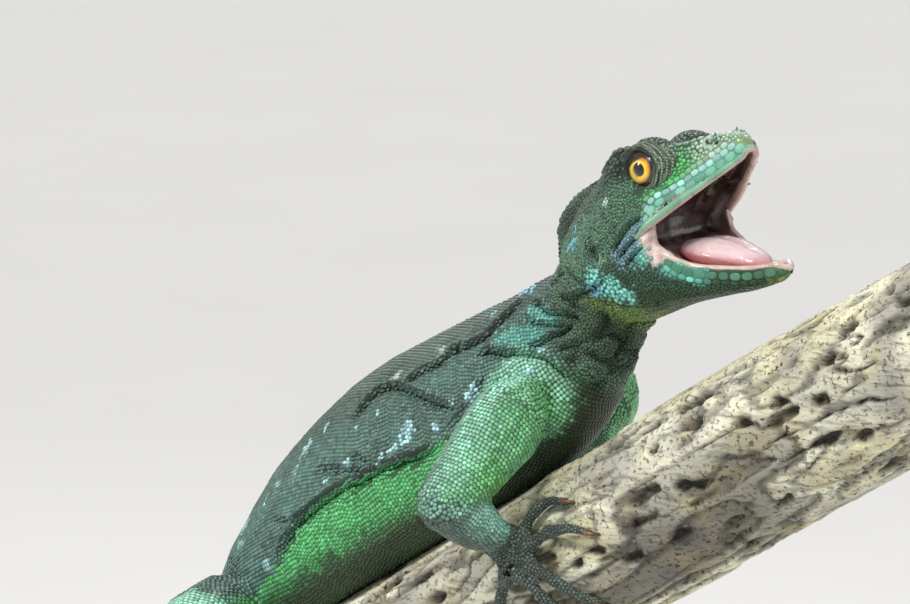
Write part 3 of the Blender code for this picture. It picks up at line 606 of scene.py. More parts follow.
def triangles_of(target: bpy.types.Object) -> Array:
    """A piece's faces as triangles."""
    target.data.calc_loop_triangles()
    flat = np.empty(len(target.data.loop_triangles) * 3, np.int32)
    target.data.loop_triangles.foreach_get("vertices", flat)
    return flat.reshape(-1, 3)


def edges_of(target: bpy.types.Object) -> Array:
    """A piece's edges as pairs of corner numbers."""
    flat = np.empty(len(target.data.edges) * 2, np.int32)
    target.data.edges.foreach_get("vertices", flat)
    return flat.reshape(-1, 2)


def normals_of(points: Array, triangles: Array) -> Array:
    """Outward direction at each corner."""
    a, b, c = (points[triangles[:, k]] for k in range(3))
    across = np.cross(b - a, c - a)
    total = np.zeros_like(points)
    for axis in range(3):
        for k in range(3):
            total[:, axis] += np.bincount(triangles[:, k], across[:, axis], len(points))
    return unit(total)


def neighbour_mean(values: Array, edges: Array, count: int) -> Array:
    """The mean of each corner's neighbours, for one or more values a corner."""
    table = values.reshape(count, -1)
    degree = np.maximum(np.bincount(edges.ravel(), minlength=count), 1)
    total = np.empty_like(table)
    for k in range(table.shape[1]):
        total[:, k] = np.bincount(edges[:, 0], table[edges[:, 1], k], count)
        total[:, k] += np.bincount(edges[:, 1], table[edges[:, 0], k], count)
    return (total / degree[:, None]).reshape(values.shape)


def relaxed(points: Array, edges: Array, weights: Array, rounds: int) -> Array:
    """Evens a skin without shrinking it: a step in, then a slightly longer one out, each round."""
    for step in range(2 * rounds):
        share = 0.5 if step % 2 == 0 else -0.52
        points = points + share * weights[:, None] * (neighbour_mean(points, edges, len(points)) - points)
    return points


def strip(rows: int, sides: int, closed: bool = False) -> list[tuple]:
    """Four-sided faces from each ring of corners to the next one, and from the last to the first if closed.

    Args:
        rows: how many rings there are.
        sides: corners in a ring.
        closed: whether the last ring joins the first.

    Returns:
        The faces' corner numbers.
    """
    faces = []
    for row in range(rows if closed else rows - 1):
        here, after = row * sides, (row + 1) % rows * sides
        for k in range(sides):
            beside = (k + 1) % sides
            faces.append((here + k, after + k, after + beside, here + beside))
    return faces


def swept(path: Array, radii: Array, sides: int, up: Array, flat: float = 1.0) -> tuple[Array, list]:
    """A closed round body along a path.

    Args:
        path: its middle line.
        radii: half its width at each point of the line.
        sides: corners round it.
        up: the direction of its flattened side.
        flat: thickness as a share of width.

    Returns:
        Its corners and faces.
    """
    ahead = unit(np.gradient(path, axis=0))
    side = unit(np.cross(ahead, up))
    rise = np.cross(side, ahead)
    turns = np.linspace(0.0, 2.0 * math.pi, sides, endpoint=False)
    rings = path[:, None] + radii[:, None, None] * (
        np.cos(turns)[None, :, None] * side[:, None] + flat * np.sin(turns)[None, :, None] * rise[:, None]
    )
    points = np.vstack([rings.reshape(-1, 3), path[:1], path[-1:]])
    faces = strip(len(path), sides)
    first, last, end = len(points) - 2, len(points) - 1, (len(path) - 1) * sides
    for k in range(sides):
        beside = (k + 1) % sides
        faces += [(first, k, beside), (last, end + beside, end + k)]
    return points, faces


def laid_over(colour: Array, other: Array, share: Array) -> Array:
    """A colour at each place with a share of another laid over it."""
    return colour + share[:, None] * (other - colour)


def set_tint(target: bpy.types.Object, colours: Array) -> None:
    """Writes one linear colour for each corner of a piece."""
    layer = target.data.color_attributes.new(name="tint", type="FLOAT_COLOR", domain="POINT")
    rows = np.column_stack([np.clip(colours, 0.0, 1.0), np.ones(len(colours))])
    layer.data.foreach_set("color", rows.astype(np.float32).ravel())


def set_wet(target: bpy.types.Object, values: Array) -> None:
    """Writes how wet each corner of a piece is, 0 to 1."""
    layer = target.data.attributes.new(name="wet", type="FLOAT", domain="POINT")
    layer.data.foreach_set("value", np.asarray(values, np.float32))


# Materials


class Wire:
    """A socket's output in a material, with the arithmetic that the finishes use."""

    def __init__(self, graph: "Graph", socket: bpy.types.NodeSocket) -> None:
        """Keeps the graph and the socket."""
        self.graph = graph
        self.socket = socket

    def joined(self, operation: str, *values: object) -> "Wire":
        """The output of one Math node with these inputs, in order."""
        return self.graph.node("ShaderNodeMath", {"operation": operation}, dict(enumerate(values)))

    def __add__(self, other: object) -> "Wire":
        """Sum."""
        return self.joined("ADD", self, other)

    def __radd__(self, other: object) -> "Wire":
        """Sum, the other way round."""
        return self.joined("ADD", other, self)

    def __sub__(self, other: object) -> "Wire":
        """Difference."""
        return self.joined("SUBTRACT", self, other)

    def __rsub__(self, other: object) -> "Wire":
        """Difference, the other way round."""
        return self.joined("SUBTRACT", other, self)

    def __mul__(self, other: object) -> "Wire":
        """Product."""
        return self.joined("MULTIPLY", self, other)

    def __rmul__(self, other: object) -> "Wire":
        """Product, the other way round."""
        return self.joined("MULTIPLY", other, self)

    def mixed(self, other: object, share: object) -> "Wire":
        """This colour with a share, 0 to 1, of another over it."""
        settings = {"data_type": "RGBA", "blend_type": "MIX"}
        return self.graph.node("ShaderNodeMix", settings, {0: share, 6: self, 7: other}, output=2)

    def ramped(self, low: float, high: float) -> "Wire":
        """This value, from low to high, spread from 0 to 1 and kept between them."""
        return self.graph.node("ShaderNodeMapRange", {}, {0: self, 1: low, 2: high, 3: 0.0, 4: 1.0})


class Graph:
    """A material's nodes, round one Principled shader."""

    def __init__(self, name: str) -> None:
        """Starts a material with its shader alone."""
        self.material = bpy.data.materials.new(name)
        self.material.use_nodes = True
        self.tree = self.material.node_tree
        self.shader = self.tree.nodes["Principled BSDF"]

    def put(self, socket: bpy.types.NodeSocket, value: object) -> None:
        """Links a wire to a socket, or sets a plain value on it."""
        if isinstance(value, Wire):
            self.tree.links.new(value.socket, socket)
        elif socket.type == "RGBA":
            socket.default_value = (*value[:3], 1.0)
        else:
            socket.default_value = value

    def node(self, kind: str, settings: dict, inputs: dict, output: Union[int, str] = 0) -> Wire:
        """Adds any node.

        Args:
            kind: the node's type.
            settings: its own properties, set first.
            inputs: socket name or number, with its value or wire.
            output: the output that is wanted.

        Returns:
            That output.
        """
        made = self.tree.nodes.new(kind)
        for name, value in settings.items():
            setattr(made, name, value)
        for name, value in inputs.items():
            self.put(made.inputs[name], value)
        return Wire(self, made.outputs[output])

    def plain(self, colour: Place) -> Wire:
        """One even colour."""
        made = self.node("ShaderNodeRGB", {}, {})
        self.put(made.socket, colour)
        return made

    def attribute(self, name: str, colour: bool = True) -> Wire:
        """A corner attribute of the piece."""
        settings = {"attribute_type": "GEOMETRY", "attribute_name": name}
        return self.node("ShaderNodeAttribute", settings, {}, output="Color" if colour else "Fac")

    def place(self) -> Wire:
        """Object coordinates, in metres."""
        return self.node("ShaderNodeTexCoord", {}, {}, output="Object")

    def grain(self, size: float, detail: float = 3.0, stretch: Place = (1.0, 1.0, 1.0), turn: float = 0.0) -> Wire:
        """Noise from 0 to 1.

        Args:
            size: breadth of its lumps in millimetres.
            detail: layers of finer noise.
            stretch: how many times tighter it is along each axis.
            turn: rotation about Y, in radians.

        Returns:
            The noise value.
        """
        settings = {"vector_type": "POINT"}
        values = {"Vector": self.place(), "Rotation": (0.0, turn, 0.0), "Scale": stretch}
        where = self.node("ShaderNodeMapping", settings, values)
        values = {"Vector": where, "Scale": 1.0 / (size * MM), "Detail": detail, "Roughness": 0.55}
        return self.node("ShaderNodeTexNoise", {"noise_dimensions": "3D"}, values, output=0)

    def bump(self, height: Wire, distance: float) -> None:
        """Roughens the surface by a height from 0 to 1 that stands for a distance in millimetres."""
        values = {"Height": height, "Distance": distance * MM, "Strength": 1.0}
        self.put(self.shader.inputs["Normal"], self.node("ShaderNodeBump", {}, values))

    def shade(self, **values: object) -> bpy.types.Material:
        """Sets the shader's sockets, whose names have an underscore for each space.

        Args:
            values: socket values or wires.

        Returns:
            The finished material.
        """
        for name, value in values.items():
            self.put(self.shader.inputs[name.replace("_", " ")], value)
        return self.material


@dataclass(frozen=True)
class HideFinish:
    """Skin between the scales, and the wet lining of the mouth."""

    roughness: float = 0.62
    wet_roughness: float = 0.16
    crease: float = 0.10
    shadow: Place = (0.02, 0.03, 0.02)

    def material(self) -> bpy.types.Material:
        """Builds the material."""
        graph = Graph("hide")
        wet = graph.attribute("wet", colour=False)
        fine, broad = graph.grain(0.35), graph.grain(2.4)
        colour = graph.attribute("tint").mixed(self.shadow, broad.ramped(0.45, 0.75) * 0.35)
        graph.bump(fine, self.crease)
        rough_share = self.roughness + (fine - 0.5) * 0.2
        return graph.shade(
            Base_Color=colour,
            Roughness=rough_share - wet * (self.roughness - self.wet_roughness),
            Coat_Weight=wet * 0.8,
            Coat_Roughness=0.08,
            Subsurface_Weight=0.08,
            Subsurface_Radius=(0.6, 0.35, 0.2),
            Subsurface_Scale=0.001,
        )


@dataclass(frozen=True)
class ScaleFinish:
    """Dry horny scales with a slight sheen."""

    roughness: float = 0.40
    specular: float = 0.5
    relief: float = 0.06
    dry: Place = (0.80, 0.95, 0.90)
    shadow: Place = (0.02, 0.03, 0.02)

    def material(self) -> bpy.types.Material:
        """Builds the material."""
        graph = Graph("scales")
        fine, broad = graph.grain(0.22), graph.grain(1.6)
        colour = graph.attribute("tint").mixed(self.dry, fine.ramped(0.52, 0.9) * 0.14)
        colour = colour.mixed(self.shadow, broad.ramped(0.5, 0.8) * 0.35)
        graph.bump(fine, self.relief)
        return graph.shade(
            Base_Color=colour,
            Roughness=self.roughness + (broad - 0.5) * 0.25,
            Specular_IOR_Level=self.specular,
        )


@dataclass(frozen=True)
class EyeFinish:
    """The globe of the eye under its clear wet front."""

    roughness: float = 0.28
    fleck: Place = (0.25, 0.08, 0.01)

    def material(self) -> bpy.types.Material:
        """Builds the material."""
        graph = Graph("eye")
        fine = graph.grain(0.12)
        colour = graph.attribute("tint").mixed(self.fleck, fine.ramped(0.55, 0.8) * 0.35)
        return graph.shade(
            Base_Color=colour,
            Roughness=self.roughness,
            Coat_Weight=1.0,
            Coat_Roughness=0.02,
            Coat_IOR=1.45,
        )


@dataclass(frozen=True)
class ClawFinish:
    """Horn, brown and a little clear."""

    roughness: float = 0.3
    relief: float = 0.03
    streak: Place = (0.30, 0.17, 0.07)

    def material(self) -> bpy.types.Material:
        """Builds the material."""
        graph = Graph("horn")
        grain = graph.grain(0.3)
        colour = graph.attribute("tint").mixed(self.streak, grain.ramped(0.5, 0.8) * 0.35)
        graph.bump(grain, self.relief)
        return graph.shade(
            Base_Color=colour,
            Roughness=self.roughness + grain * 0.15,
            Coat_Weight=0.3,
            Coat_Roughness=0.15,
        )


@dataclass(frozen=True)
class TongueFinish:
    """Wet pink flesh."""

    roughness: float = 0.24
    relief: float = 0.10
    flush: Place = (0.58, 0.26, 0.27)

    def material(self) -> bpy.types.Material:
        """Builds the material."""
        graph = Graph("tongue_flesh")
        buds, broad = graph.grain(0.32, detail=2.0), graph.grain(3.0)
        colour = graph.attribute("tint").mixed(self.flush, broad.ramped(0.5, 0.85) * 0.3)
        graph.bump(buds, self.relief)
        return graph.shade(
            Base_Color=colour,
            Roughness=self.roughness + buds * 0.12,
            Coat_Weight=1.0,
            Coat_Roughness=0.05,
            Subsurface_Weight=0.18,
            Subsurface_Radius=(1.0, 0.35, 0.25),
            Subsurface_Scale=0.0015,
        )


@dataclass(frozen=True)
class BarkFinish:
    """Weathered bark, its fibre lying along the branch."""

    turn: float = 0.0
    roughness: float = 0.82
    relief: float = 0.8
    lichen: Place = (0.40, 0.34, 0.20)
    weathered: Place = (0.15, 0.14, 0.12)
    furrow: Place = (0.10, 0.095, 0.08)
    # near black: painted shade in the small pits
    pit: Place = (0.02, 0.018, 0.014)

    def material(self) -> bpy.types.Material:
        """Builds the material."""
        graph = Graph("weathered_bark")
        fibre = graph.grain(0.8, detail=6.0, stretch=(0.12, 1.0, 1.0), turn=self.turn)
        strand = graph.grain(2.6, detail=6.0, stretch=(0.14, 1.0, 1.0), turn=self.turn)
        speck, blotch = graph.grain(0.9, detail=5.0), graph.grain(6.0, detail=5.0)
        colour = graph.attribute("tint")
        colour = colour.mixed(self.lichen, blotch.ramped(0.48, 0.66) * 0.35)
        colour = colour.mixed(self.weathered, strand.ramped(0.54, 0.68) * 0.7)
        colour = colour.mixed(self.furrow, fibre.ramped(0.55, 0.70) * 0.7)
        # painted shade: the specks that the bump sinks are painted near black
        colour = colour.mixed(self.pit, speck.ramped(0.60, 0.68) * blotch.ramped(0.40, 0.60) * 0.9)
        graph.bump(fibre * 0.5 + strand * 0.5 - speck.ramped(0.58, 0.68) * 0.5, self.relief)
        return graph.shade(
            Base_Color=colour,
            Roughness=self.roughness + (speck - 0.5) * 0.2,
            Specular_IOR_Level=0.3,
        )


@dataclass(frozen=True)
class PaintFinish:
    """Satin black paint on the stand's base."""

    roughness: float = 0.36
    relief: float = 0.02
    black: Place = (0.02, 0.02, 0.021)
    worn: Place = (0.05, 0.05, 0.05)

    def material(self) -> bpy.types.Material:
        """Builds the material."""
        graph = Graph("satin_paint")
        peel, wear = graph.grain(0.6, detail=2.0), graph.grain(14.0)
        colour = graph.plain(self.black).mixed(self.worn, wear.ramped(0.45, 0.8) * 0.5)
        graph.bump(peel, self.relief)
        return graph.shade(Base_Color=colour, Roughness=self.roughness + (wear - 0.5) * 0.2)


@dataclass(frozen=True)
class SteelFinish:
    """Brushed steel, its lines round the rod."""

    roughness: float = 0.28
    relief: float = 0.02
    steel: Place = (0.55, 0.55, 0.56)
    brushed: Place = (0.40, 0.40, 0.42)

    def material(self) -> bpy.types.Material:
        """Builds the material."""
        graph = Graph("brushed_steel")
        lines, smears = graph.grain(0.5, detail=4.0, stretch=(0.05, 0.05, 2.0)), graph.grain(9.0)
        colour = graph.plain(self.steel).mixed(self.brushed, lines.ramped(0.4, 0.7))
        graph.bump(lines, self.relief)
        return graph.shade(Base_Color=colour, Roughness=self.roughness + smears * 0.2, Metallic=1.0)


@dataclass(frozen=True)
class FloorFinish:
    """The studio's pale floor."""

    roughness: float = 0.85
    pale: Place = (0.74, 0.73, 0.71)
    dusty: Place = (0.68, 0.67, 0.65)

    def material(self) -> bpy.types.Material:
        """Builds the material."""
        graph = Graph("pale_floor")
        broad = graph.grain(160.0)
        colour = graph.plain(self.pale).mixed(self.dusty, broad.ramped(0.3, 0.8) * 0.5)
        return graph.shade(Base_Color=colour, Roughness=self.roughness)


# Folds and markings

FOLD_WIDTH, FOLD_DEPTH, FOLD_ROLL = 0.62, 1.5, 1.2  # every fold's own figures are taken times these


@dataclass(frozen=True)
class Fold:
    """One fold of the skin: a crease along a line, with a roll on its upper side."""

    line: tuple
    width: float = 0.9
    depth: float = 0.7
    roll: float = 0.35
    lean: Place = (-0.52, 0.0, 0.86)

    def shape(self, points: Array) -> tuple[Array, Array]:
        """The fold's work on right-side points.

        Args:
            points: places on the skin.

        Returns:
            How far each moves along its normal, and how deep in the crease it is, 0 to 1, by which the skin's colour is
            darkened as painted shade.
        """
        line = smooth_path(self.line, 4 * len(self.line))
        low, high = line.min(axis=0) - 5 * self.width, line.max(axis=0) + 5 * self.width
        near = np.flatnonzero(np.all((points > low) & (points < high), axis=1))
        moved, shade = np.zeros(len(points)), np.zeros(len(points))
        if not len(near):
            return moved, shade
        far, share, foot = to_line(points[near], line)
        ends = ramp(0.0, 0.18, share) * ramp(1.0, 0.82, share)
        width = FOLD_WIDTH * self.width
        over = np.tanh((points[near] - foot) @ unit(np.array(self.lean)) / (0.5 * width))
        crease = np.exp(-((far / width) ** 2))
        roll = np.exp(-(((far - 1.9 * width) / (1.1 * width)) ** 2))
        moved[near] = ends * (FOLD_ROLL * self.roll * (0.5 + 0.5 * over) * roll - FOLD_DEPTH * self.depth * crease)
        # how dark the painted shade in the crease is
        shade[near] = ends * np.exp(-((far / (0.75 * width)) ** 2))
        return moved, shade


def all_folds(points: Array) -> tuple[Array, Array]:
    """Every fold's work on right-side points, together."""
    moved, shade = np.zeros(len(points)), np.zeros(len(points))
    for fold in FOLDS:
        shift, crease = fold.shape(points)
        moved += shift
        shade = np.maximum(shade, crease)
    return moved, shade


FOLDS = (
    # shoulder and neck
    Fold(((12.6, -9.8, -7.2), (16, -9.3, -5.6), (20.2, -9.6, -5.5), (25.6, -9.5, -4.8), (30.1, -9.3, -5.4),
          (33.3, -8.4, -7.6), (35.6, -6.9, -8.8)), 0.85, 0.95, 0.5),
    Fold(((3.2, -7.4, -7.6), (7.5, -8.2, -6.5), (11.1, -8.1, -5), (14.4, -7.5, -3.1), (15.9, -6.3, -0.9),
          (17.7, -5.5, 0.9), (18.9, -4.5, 2.7), (20.2, -3.6, 4.6)), 0.8, 0.8, 0.45),
    Fold(((-4, -10.1, -14.7), (0, -9.2, -11.4), (4.7, -9, -9), (6.9, -8.3, -7), (9.5, -7.2, -4.6)), 0.8, 0.65, 0.4),
    Fold(((21.9, -4.8, 3.7), (25.6, -6.1, 3.3), (28, -6.9, 2.5), (30.8, -7.3, 2.7), (33.6, -7.6, 2.9),
          (37.4, -8, 2.6)), 0.75, 0.8, 0.45),
    Fold(((20.9, -6.0, 1.6), (24.7, -7.3, 0.6), (28.7, -7.7, 0.6), (32.1, -7.9, 0.9), (36.5, -8, 0.3)), 0.7, 0.7, 0.4),
    Fold(((34.6, -8.1, 0.2), (30.2, -8.4, -1.3), (27.2, -8.9, -3.1), (24.7, -8.9, -3.3)), 0.75, 0.75, 0.4),
    Fold(((30.9, -6.2, 11.7), (33.5, -8, 10.6), (35.8, -8.9, 10.3), (38.8, -9.7, 9.3), (40.5, -9.9, 8.2)),
         0.7, 0.6, 0.35),
    Fold(((28.5, -5.3, 6.2), (31.2, -6.4, 5.7), (35, -7.8, 6.2), (38.8, -9.2, 7.7), (43.9, -10.8, 10.5),
          (47.1, -11.7, 12.3)), 0.85, 0.7, 0.4),
    # ear and cheek
    Fold(((41, -10.7, 18.9), (41.4, -11.1, 16.7), (42.1, -11.5, 15.1), (43.7, -11.6, 13.2)), 0.6, 0.6, 0.3),
    Fold(((53.9, -10.9, 23.6), (51.4, -11.7, 21.7), (49.6, -12.2, 19.3), (47.9, -12.3, 16.0)), 0.6, 0.95, 0.55),
    Fold(((55.2, -10.8, 22.5), (53.5, -11.5, 20.7), (51.2, -12, 18.1), (48.7, -12.2, 15.1)), 0.55, 0.95, 0.55),
    Fold(((56.4, -10.8, 21.0), (55.0, -11.4, 19.4), (53.0, -11.8, 17.2), (50.5, -12.0, 14.2)), 0.5, 0.8, 0.5),
    Fold(((41.4, -9, 7), (45, -8.9, 6.7), (48.7, -8.5, 6.6), (52.4, -7.5, 7.1), (56.6, -7.1, 8.1)), 0.7, 0.4, 0.2),
    # flank
    Fold(((12, -14.2, -22), (3, -15.2, -26.3), (-2.7, -15.7, -28.6), (-7.1, -15.9, -30.9), (-14, -15.8, -34.4),
          (-19.7, -15.4, -38), (-25.7, -14.8, -42.7), (-28.2, -14.6, -45.9), (-29.9, -14.2, -49.7),
          (-29.2, -13.7, -53.4)), 1.1, 1.3, 0.75),
    Fold(((17.5, -14.6, -15.4), (8.6, -13.3, -15.7), (-0.1, -11.4, -15), (-8, -9.3, -15.3), (-10.9, -9, -16.6),
          (-13.4, -10.1, -19.6), (-16, -11.4, -23.6)), 0.9, 0.95, 0.55),
    Fold(((-22.9, -12.9, -32), (-14.8, -14.9, -30.5), (-10.7, -15.4, -30.2), (-6.4, -15.4, -29.0)), 0.7, 0.55, 0.35),
    Fold(((-13.6, -14.2, -27.6), (-12.6, -14.5, -28), (-10.4, -14.8, -27.5), (-7.2, -15.2, -28.3)), 0.6, 0.4, 0.3),
    Fold(((-34.5, -12.2, -42.8), (-26.8, -14.4, -42), (-23.1, -15.0, -40.0)), 0.7, 0.5, 0.3),
    Fold(((21.3, -10.8, -8.6), (20.6, -12.5, -11.5), (18.5, -14.2, -15.5), (15.5, -15.0, -19.5)), 0.8, 0.7, 0.4),
    Fold(((17.6, -10.6, -8.8), (16.6, -12.6, -12.2), (14.2, -14.0, -16.2), (10.8, -14.8, -20.2)), 0.8, 0.55, 0.35),
)


@dataclass(frozen=True)
class Mark:
    """A mark of one colour along a line, or round a single point."""

    colour: tuple
    line: tuple
    radius: float
    soft: float = 0.5
    strength: float = 0.82

    def share(self, points: Array) -> Array:
        """How much of the mark's colour each right-side point takes."""
        line = np.array(self.line if len(self.line) > 1 else self.line * 2, float)
        far = to_line(points, line)[0]
        return self.strength * ramp(1.3 * self.radius + self.soft, 1.3 * self.radius - 0.4 * self.soft, far)


SPOT = (178, 226, 232)
PALE = (196, 216, 204)
TEAL = (104, 204, 184)
SKY = (118, 196, 220)

MARKS = (
    # flank spots
    Mark(SPOT, ((1.9, -14.1, -20.0), (1.7, -14.4, -21.9)), 0.75, 0.35),
    Mark(SPOT, ((8.2, -14.4, -19.6),), 0.75, 0.4),
    Mark(SPOT, ((11.6, -13.9, -15.6),), 0.7, 0.4),
    Mark(SPOT, ((15.5, -13.0, -13.0),), 1.15, 0.5),
    Mark(SPOT, ((-1.6, -15.1, -25.5),), 0.8, 0.35),
    Mark(SPOT, ((-3.8, -15.5, -27.7),), 0.65, 0.35),
    Mark(SPOT, ((-12.9, -15.0, -29.6),), 0.7, 0.4),
    Mark(SPOT, ((-17.8, -15.0, -33.5),), 0.7, 0.4),
    Mark(SPOT, ((-8.7, -12.2, -20.4),), 0.4, 0.3),
    Mark(SPOT, ((-12.8, -11.9, -22.2),), 0.4, 0.3),
    Mark(PALE, ((-6.7, -8.3, -13.5),), 0.8, 0.6, 0.6),
    Mark(PALE, ((3.2, -7.4, -7.6),), 0.7, 0.6, 0.6),
    Mark(SPOT, ((26.8, -10.1, -7.2),), 0.6, 0.35),
    Mark(SPOT, ((28.4, -9.2, -4.3),), 0.6, 0.35),
    Mark(SPOT, ((-24.2, -8.2, -24.8), (-22.8, -8.6, -24.6)), 0.55, 0.4, 0.8),
    Mark(SPOT, ((-28.7, -8.7, -29.5),), 0.8, 0.5, 0.8),
    Mark(SPOT, ((-29.0, -10.1, -31.9),), 0.5, 0.4, 0.8),
    Mark(SPOT, ((-36.1, -8.9, -37.2),), 0.75, 0.5, 0.7),
    Mark(SPOT, ((-39.6, -8.6, -41.0),), 0.8, 0.5, 0.7),
    Mark(SPOT, ((-47.6, -5.7, -47.6),), 0.8, 0.5, 0.7),
    Mark(SPOT, ((-45.2, -8.6, -50.2),), 0.6, 0.5, 0.6),
    Mark(SPOT, ((-27.6, -14.4, -43.2),), 0.6, 0.4, 0.6),
    Mark(SPOT, ((-33.5, -13.6, -52.1),), 0.9, 0.5, 0.6),
    # neck
    Mark(SKY, ((19.2, -2.5, 5.0), (20.5, -3.0, 5.0)), 0.7, 0.4),
    Mark(SPOT, ((13.2, -4.5, 0.2),), 0.5, 0.4, 0.7),
    Mark(TEAL, ((24.0, -6.8, 1.8), (30.0, -7.6, 1.6)), 1.0, 1.0, 0.5),
    Mark(TEAL, ((27.0, -9.0, -1.5), (23.0, -8.5, -2.0), (19.0, -8.2, -2.8)), 1.3, 1.4, 0.45),
    # throat fan
    Mark((136, 226, 210), ((43.0, -10.4, 11.0), (46.0, -10.6, 9.8), (48.7, -9.9, 8.8)), 1.5, 1.2, 0.9),
    Mark(SKY, ((40.5, -9.6, 8.6), (43.0, -10.0, 9.0)), 0.9, 0.9, 0.7),
    # head
    Mark(PALE, ((44.2, -10.2, 24.6),), 0.45, 0.3, 0.95),
    Mark(PALE, ((44.8, -11.9, 14.5),), 0.5, 0.5, 0.6),
    Mark((40, 52, 50), ((29.1, -1.8, 19.1),), 1.3, 0.6, 0.9),
    Mark(SKY, ((33.0, -6.4, 15.8), (34.4, -7.0, 16.6)), 0.7, 0.6, 0.8),
    Mark((196, 150, 150), ((42.4, -11.4, 16.2),), 0.5, 0.6, 0.5),
    Mark((124, 168, 184), ((54.4, -11.0, 22.8), (52.4, -11.7, 20.9), (50.2, -12.1, 18.4), (48.4, -12.2, 15.4)),
         0.55, 0.9, 0.75),
    Mark((124, 160, 180), ((55.6, -11.0, 21.2), (54.0, -11.5, 19.8), (51.9, -11.9, 17.5), (49.6, -12.1, 14.6)),
         0.5, 0.8, 0.75),
    Mark((112, 176, 168), ((56.6, -11.0, 19.4), (54.8, -11.5, 17.6), (52.2, -11.9, 14.9)), 0.6, 0.9, 0.6),
    Mark((70, 190, 96), ((58.3, -6.7, 32.2), (56.0, -8.6, 29.8), (53.0, -9.8, 28.2)), 1.2, 1.2, 0.65),
    Mark(TEAL, ((55.3, -10.5, 23.9), (58.2, -8.7, 27.1), (62.3, -6.1, 30.7), (66.5, -3.3, 34.3), (68.6, -1.2, 35.7)),
         0.8, 0.7, 0.75),
    Mark((176, 206, 120), ((68.4, -1.0, 36.6),), 1.2, 1.0, 0.7),
    Mark(TEAL, ((54.2, -11.4, 17.0), (57.0, -11.0, 16.2), (60.2, -10.0, 15.0), (64.0, -8.2, 14.0)), 1.0, 1.0, 0.7),
)


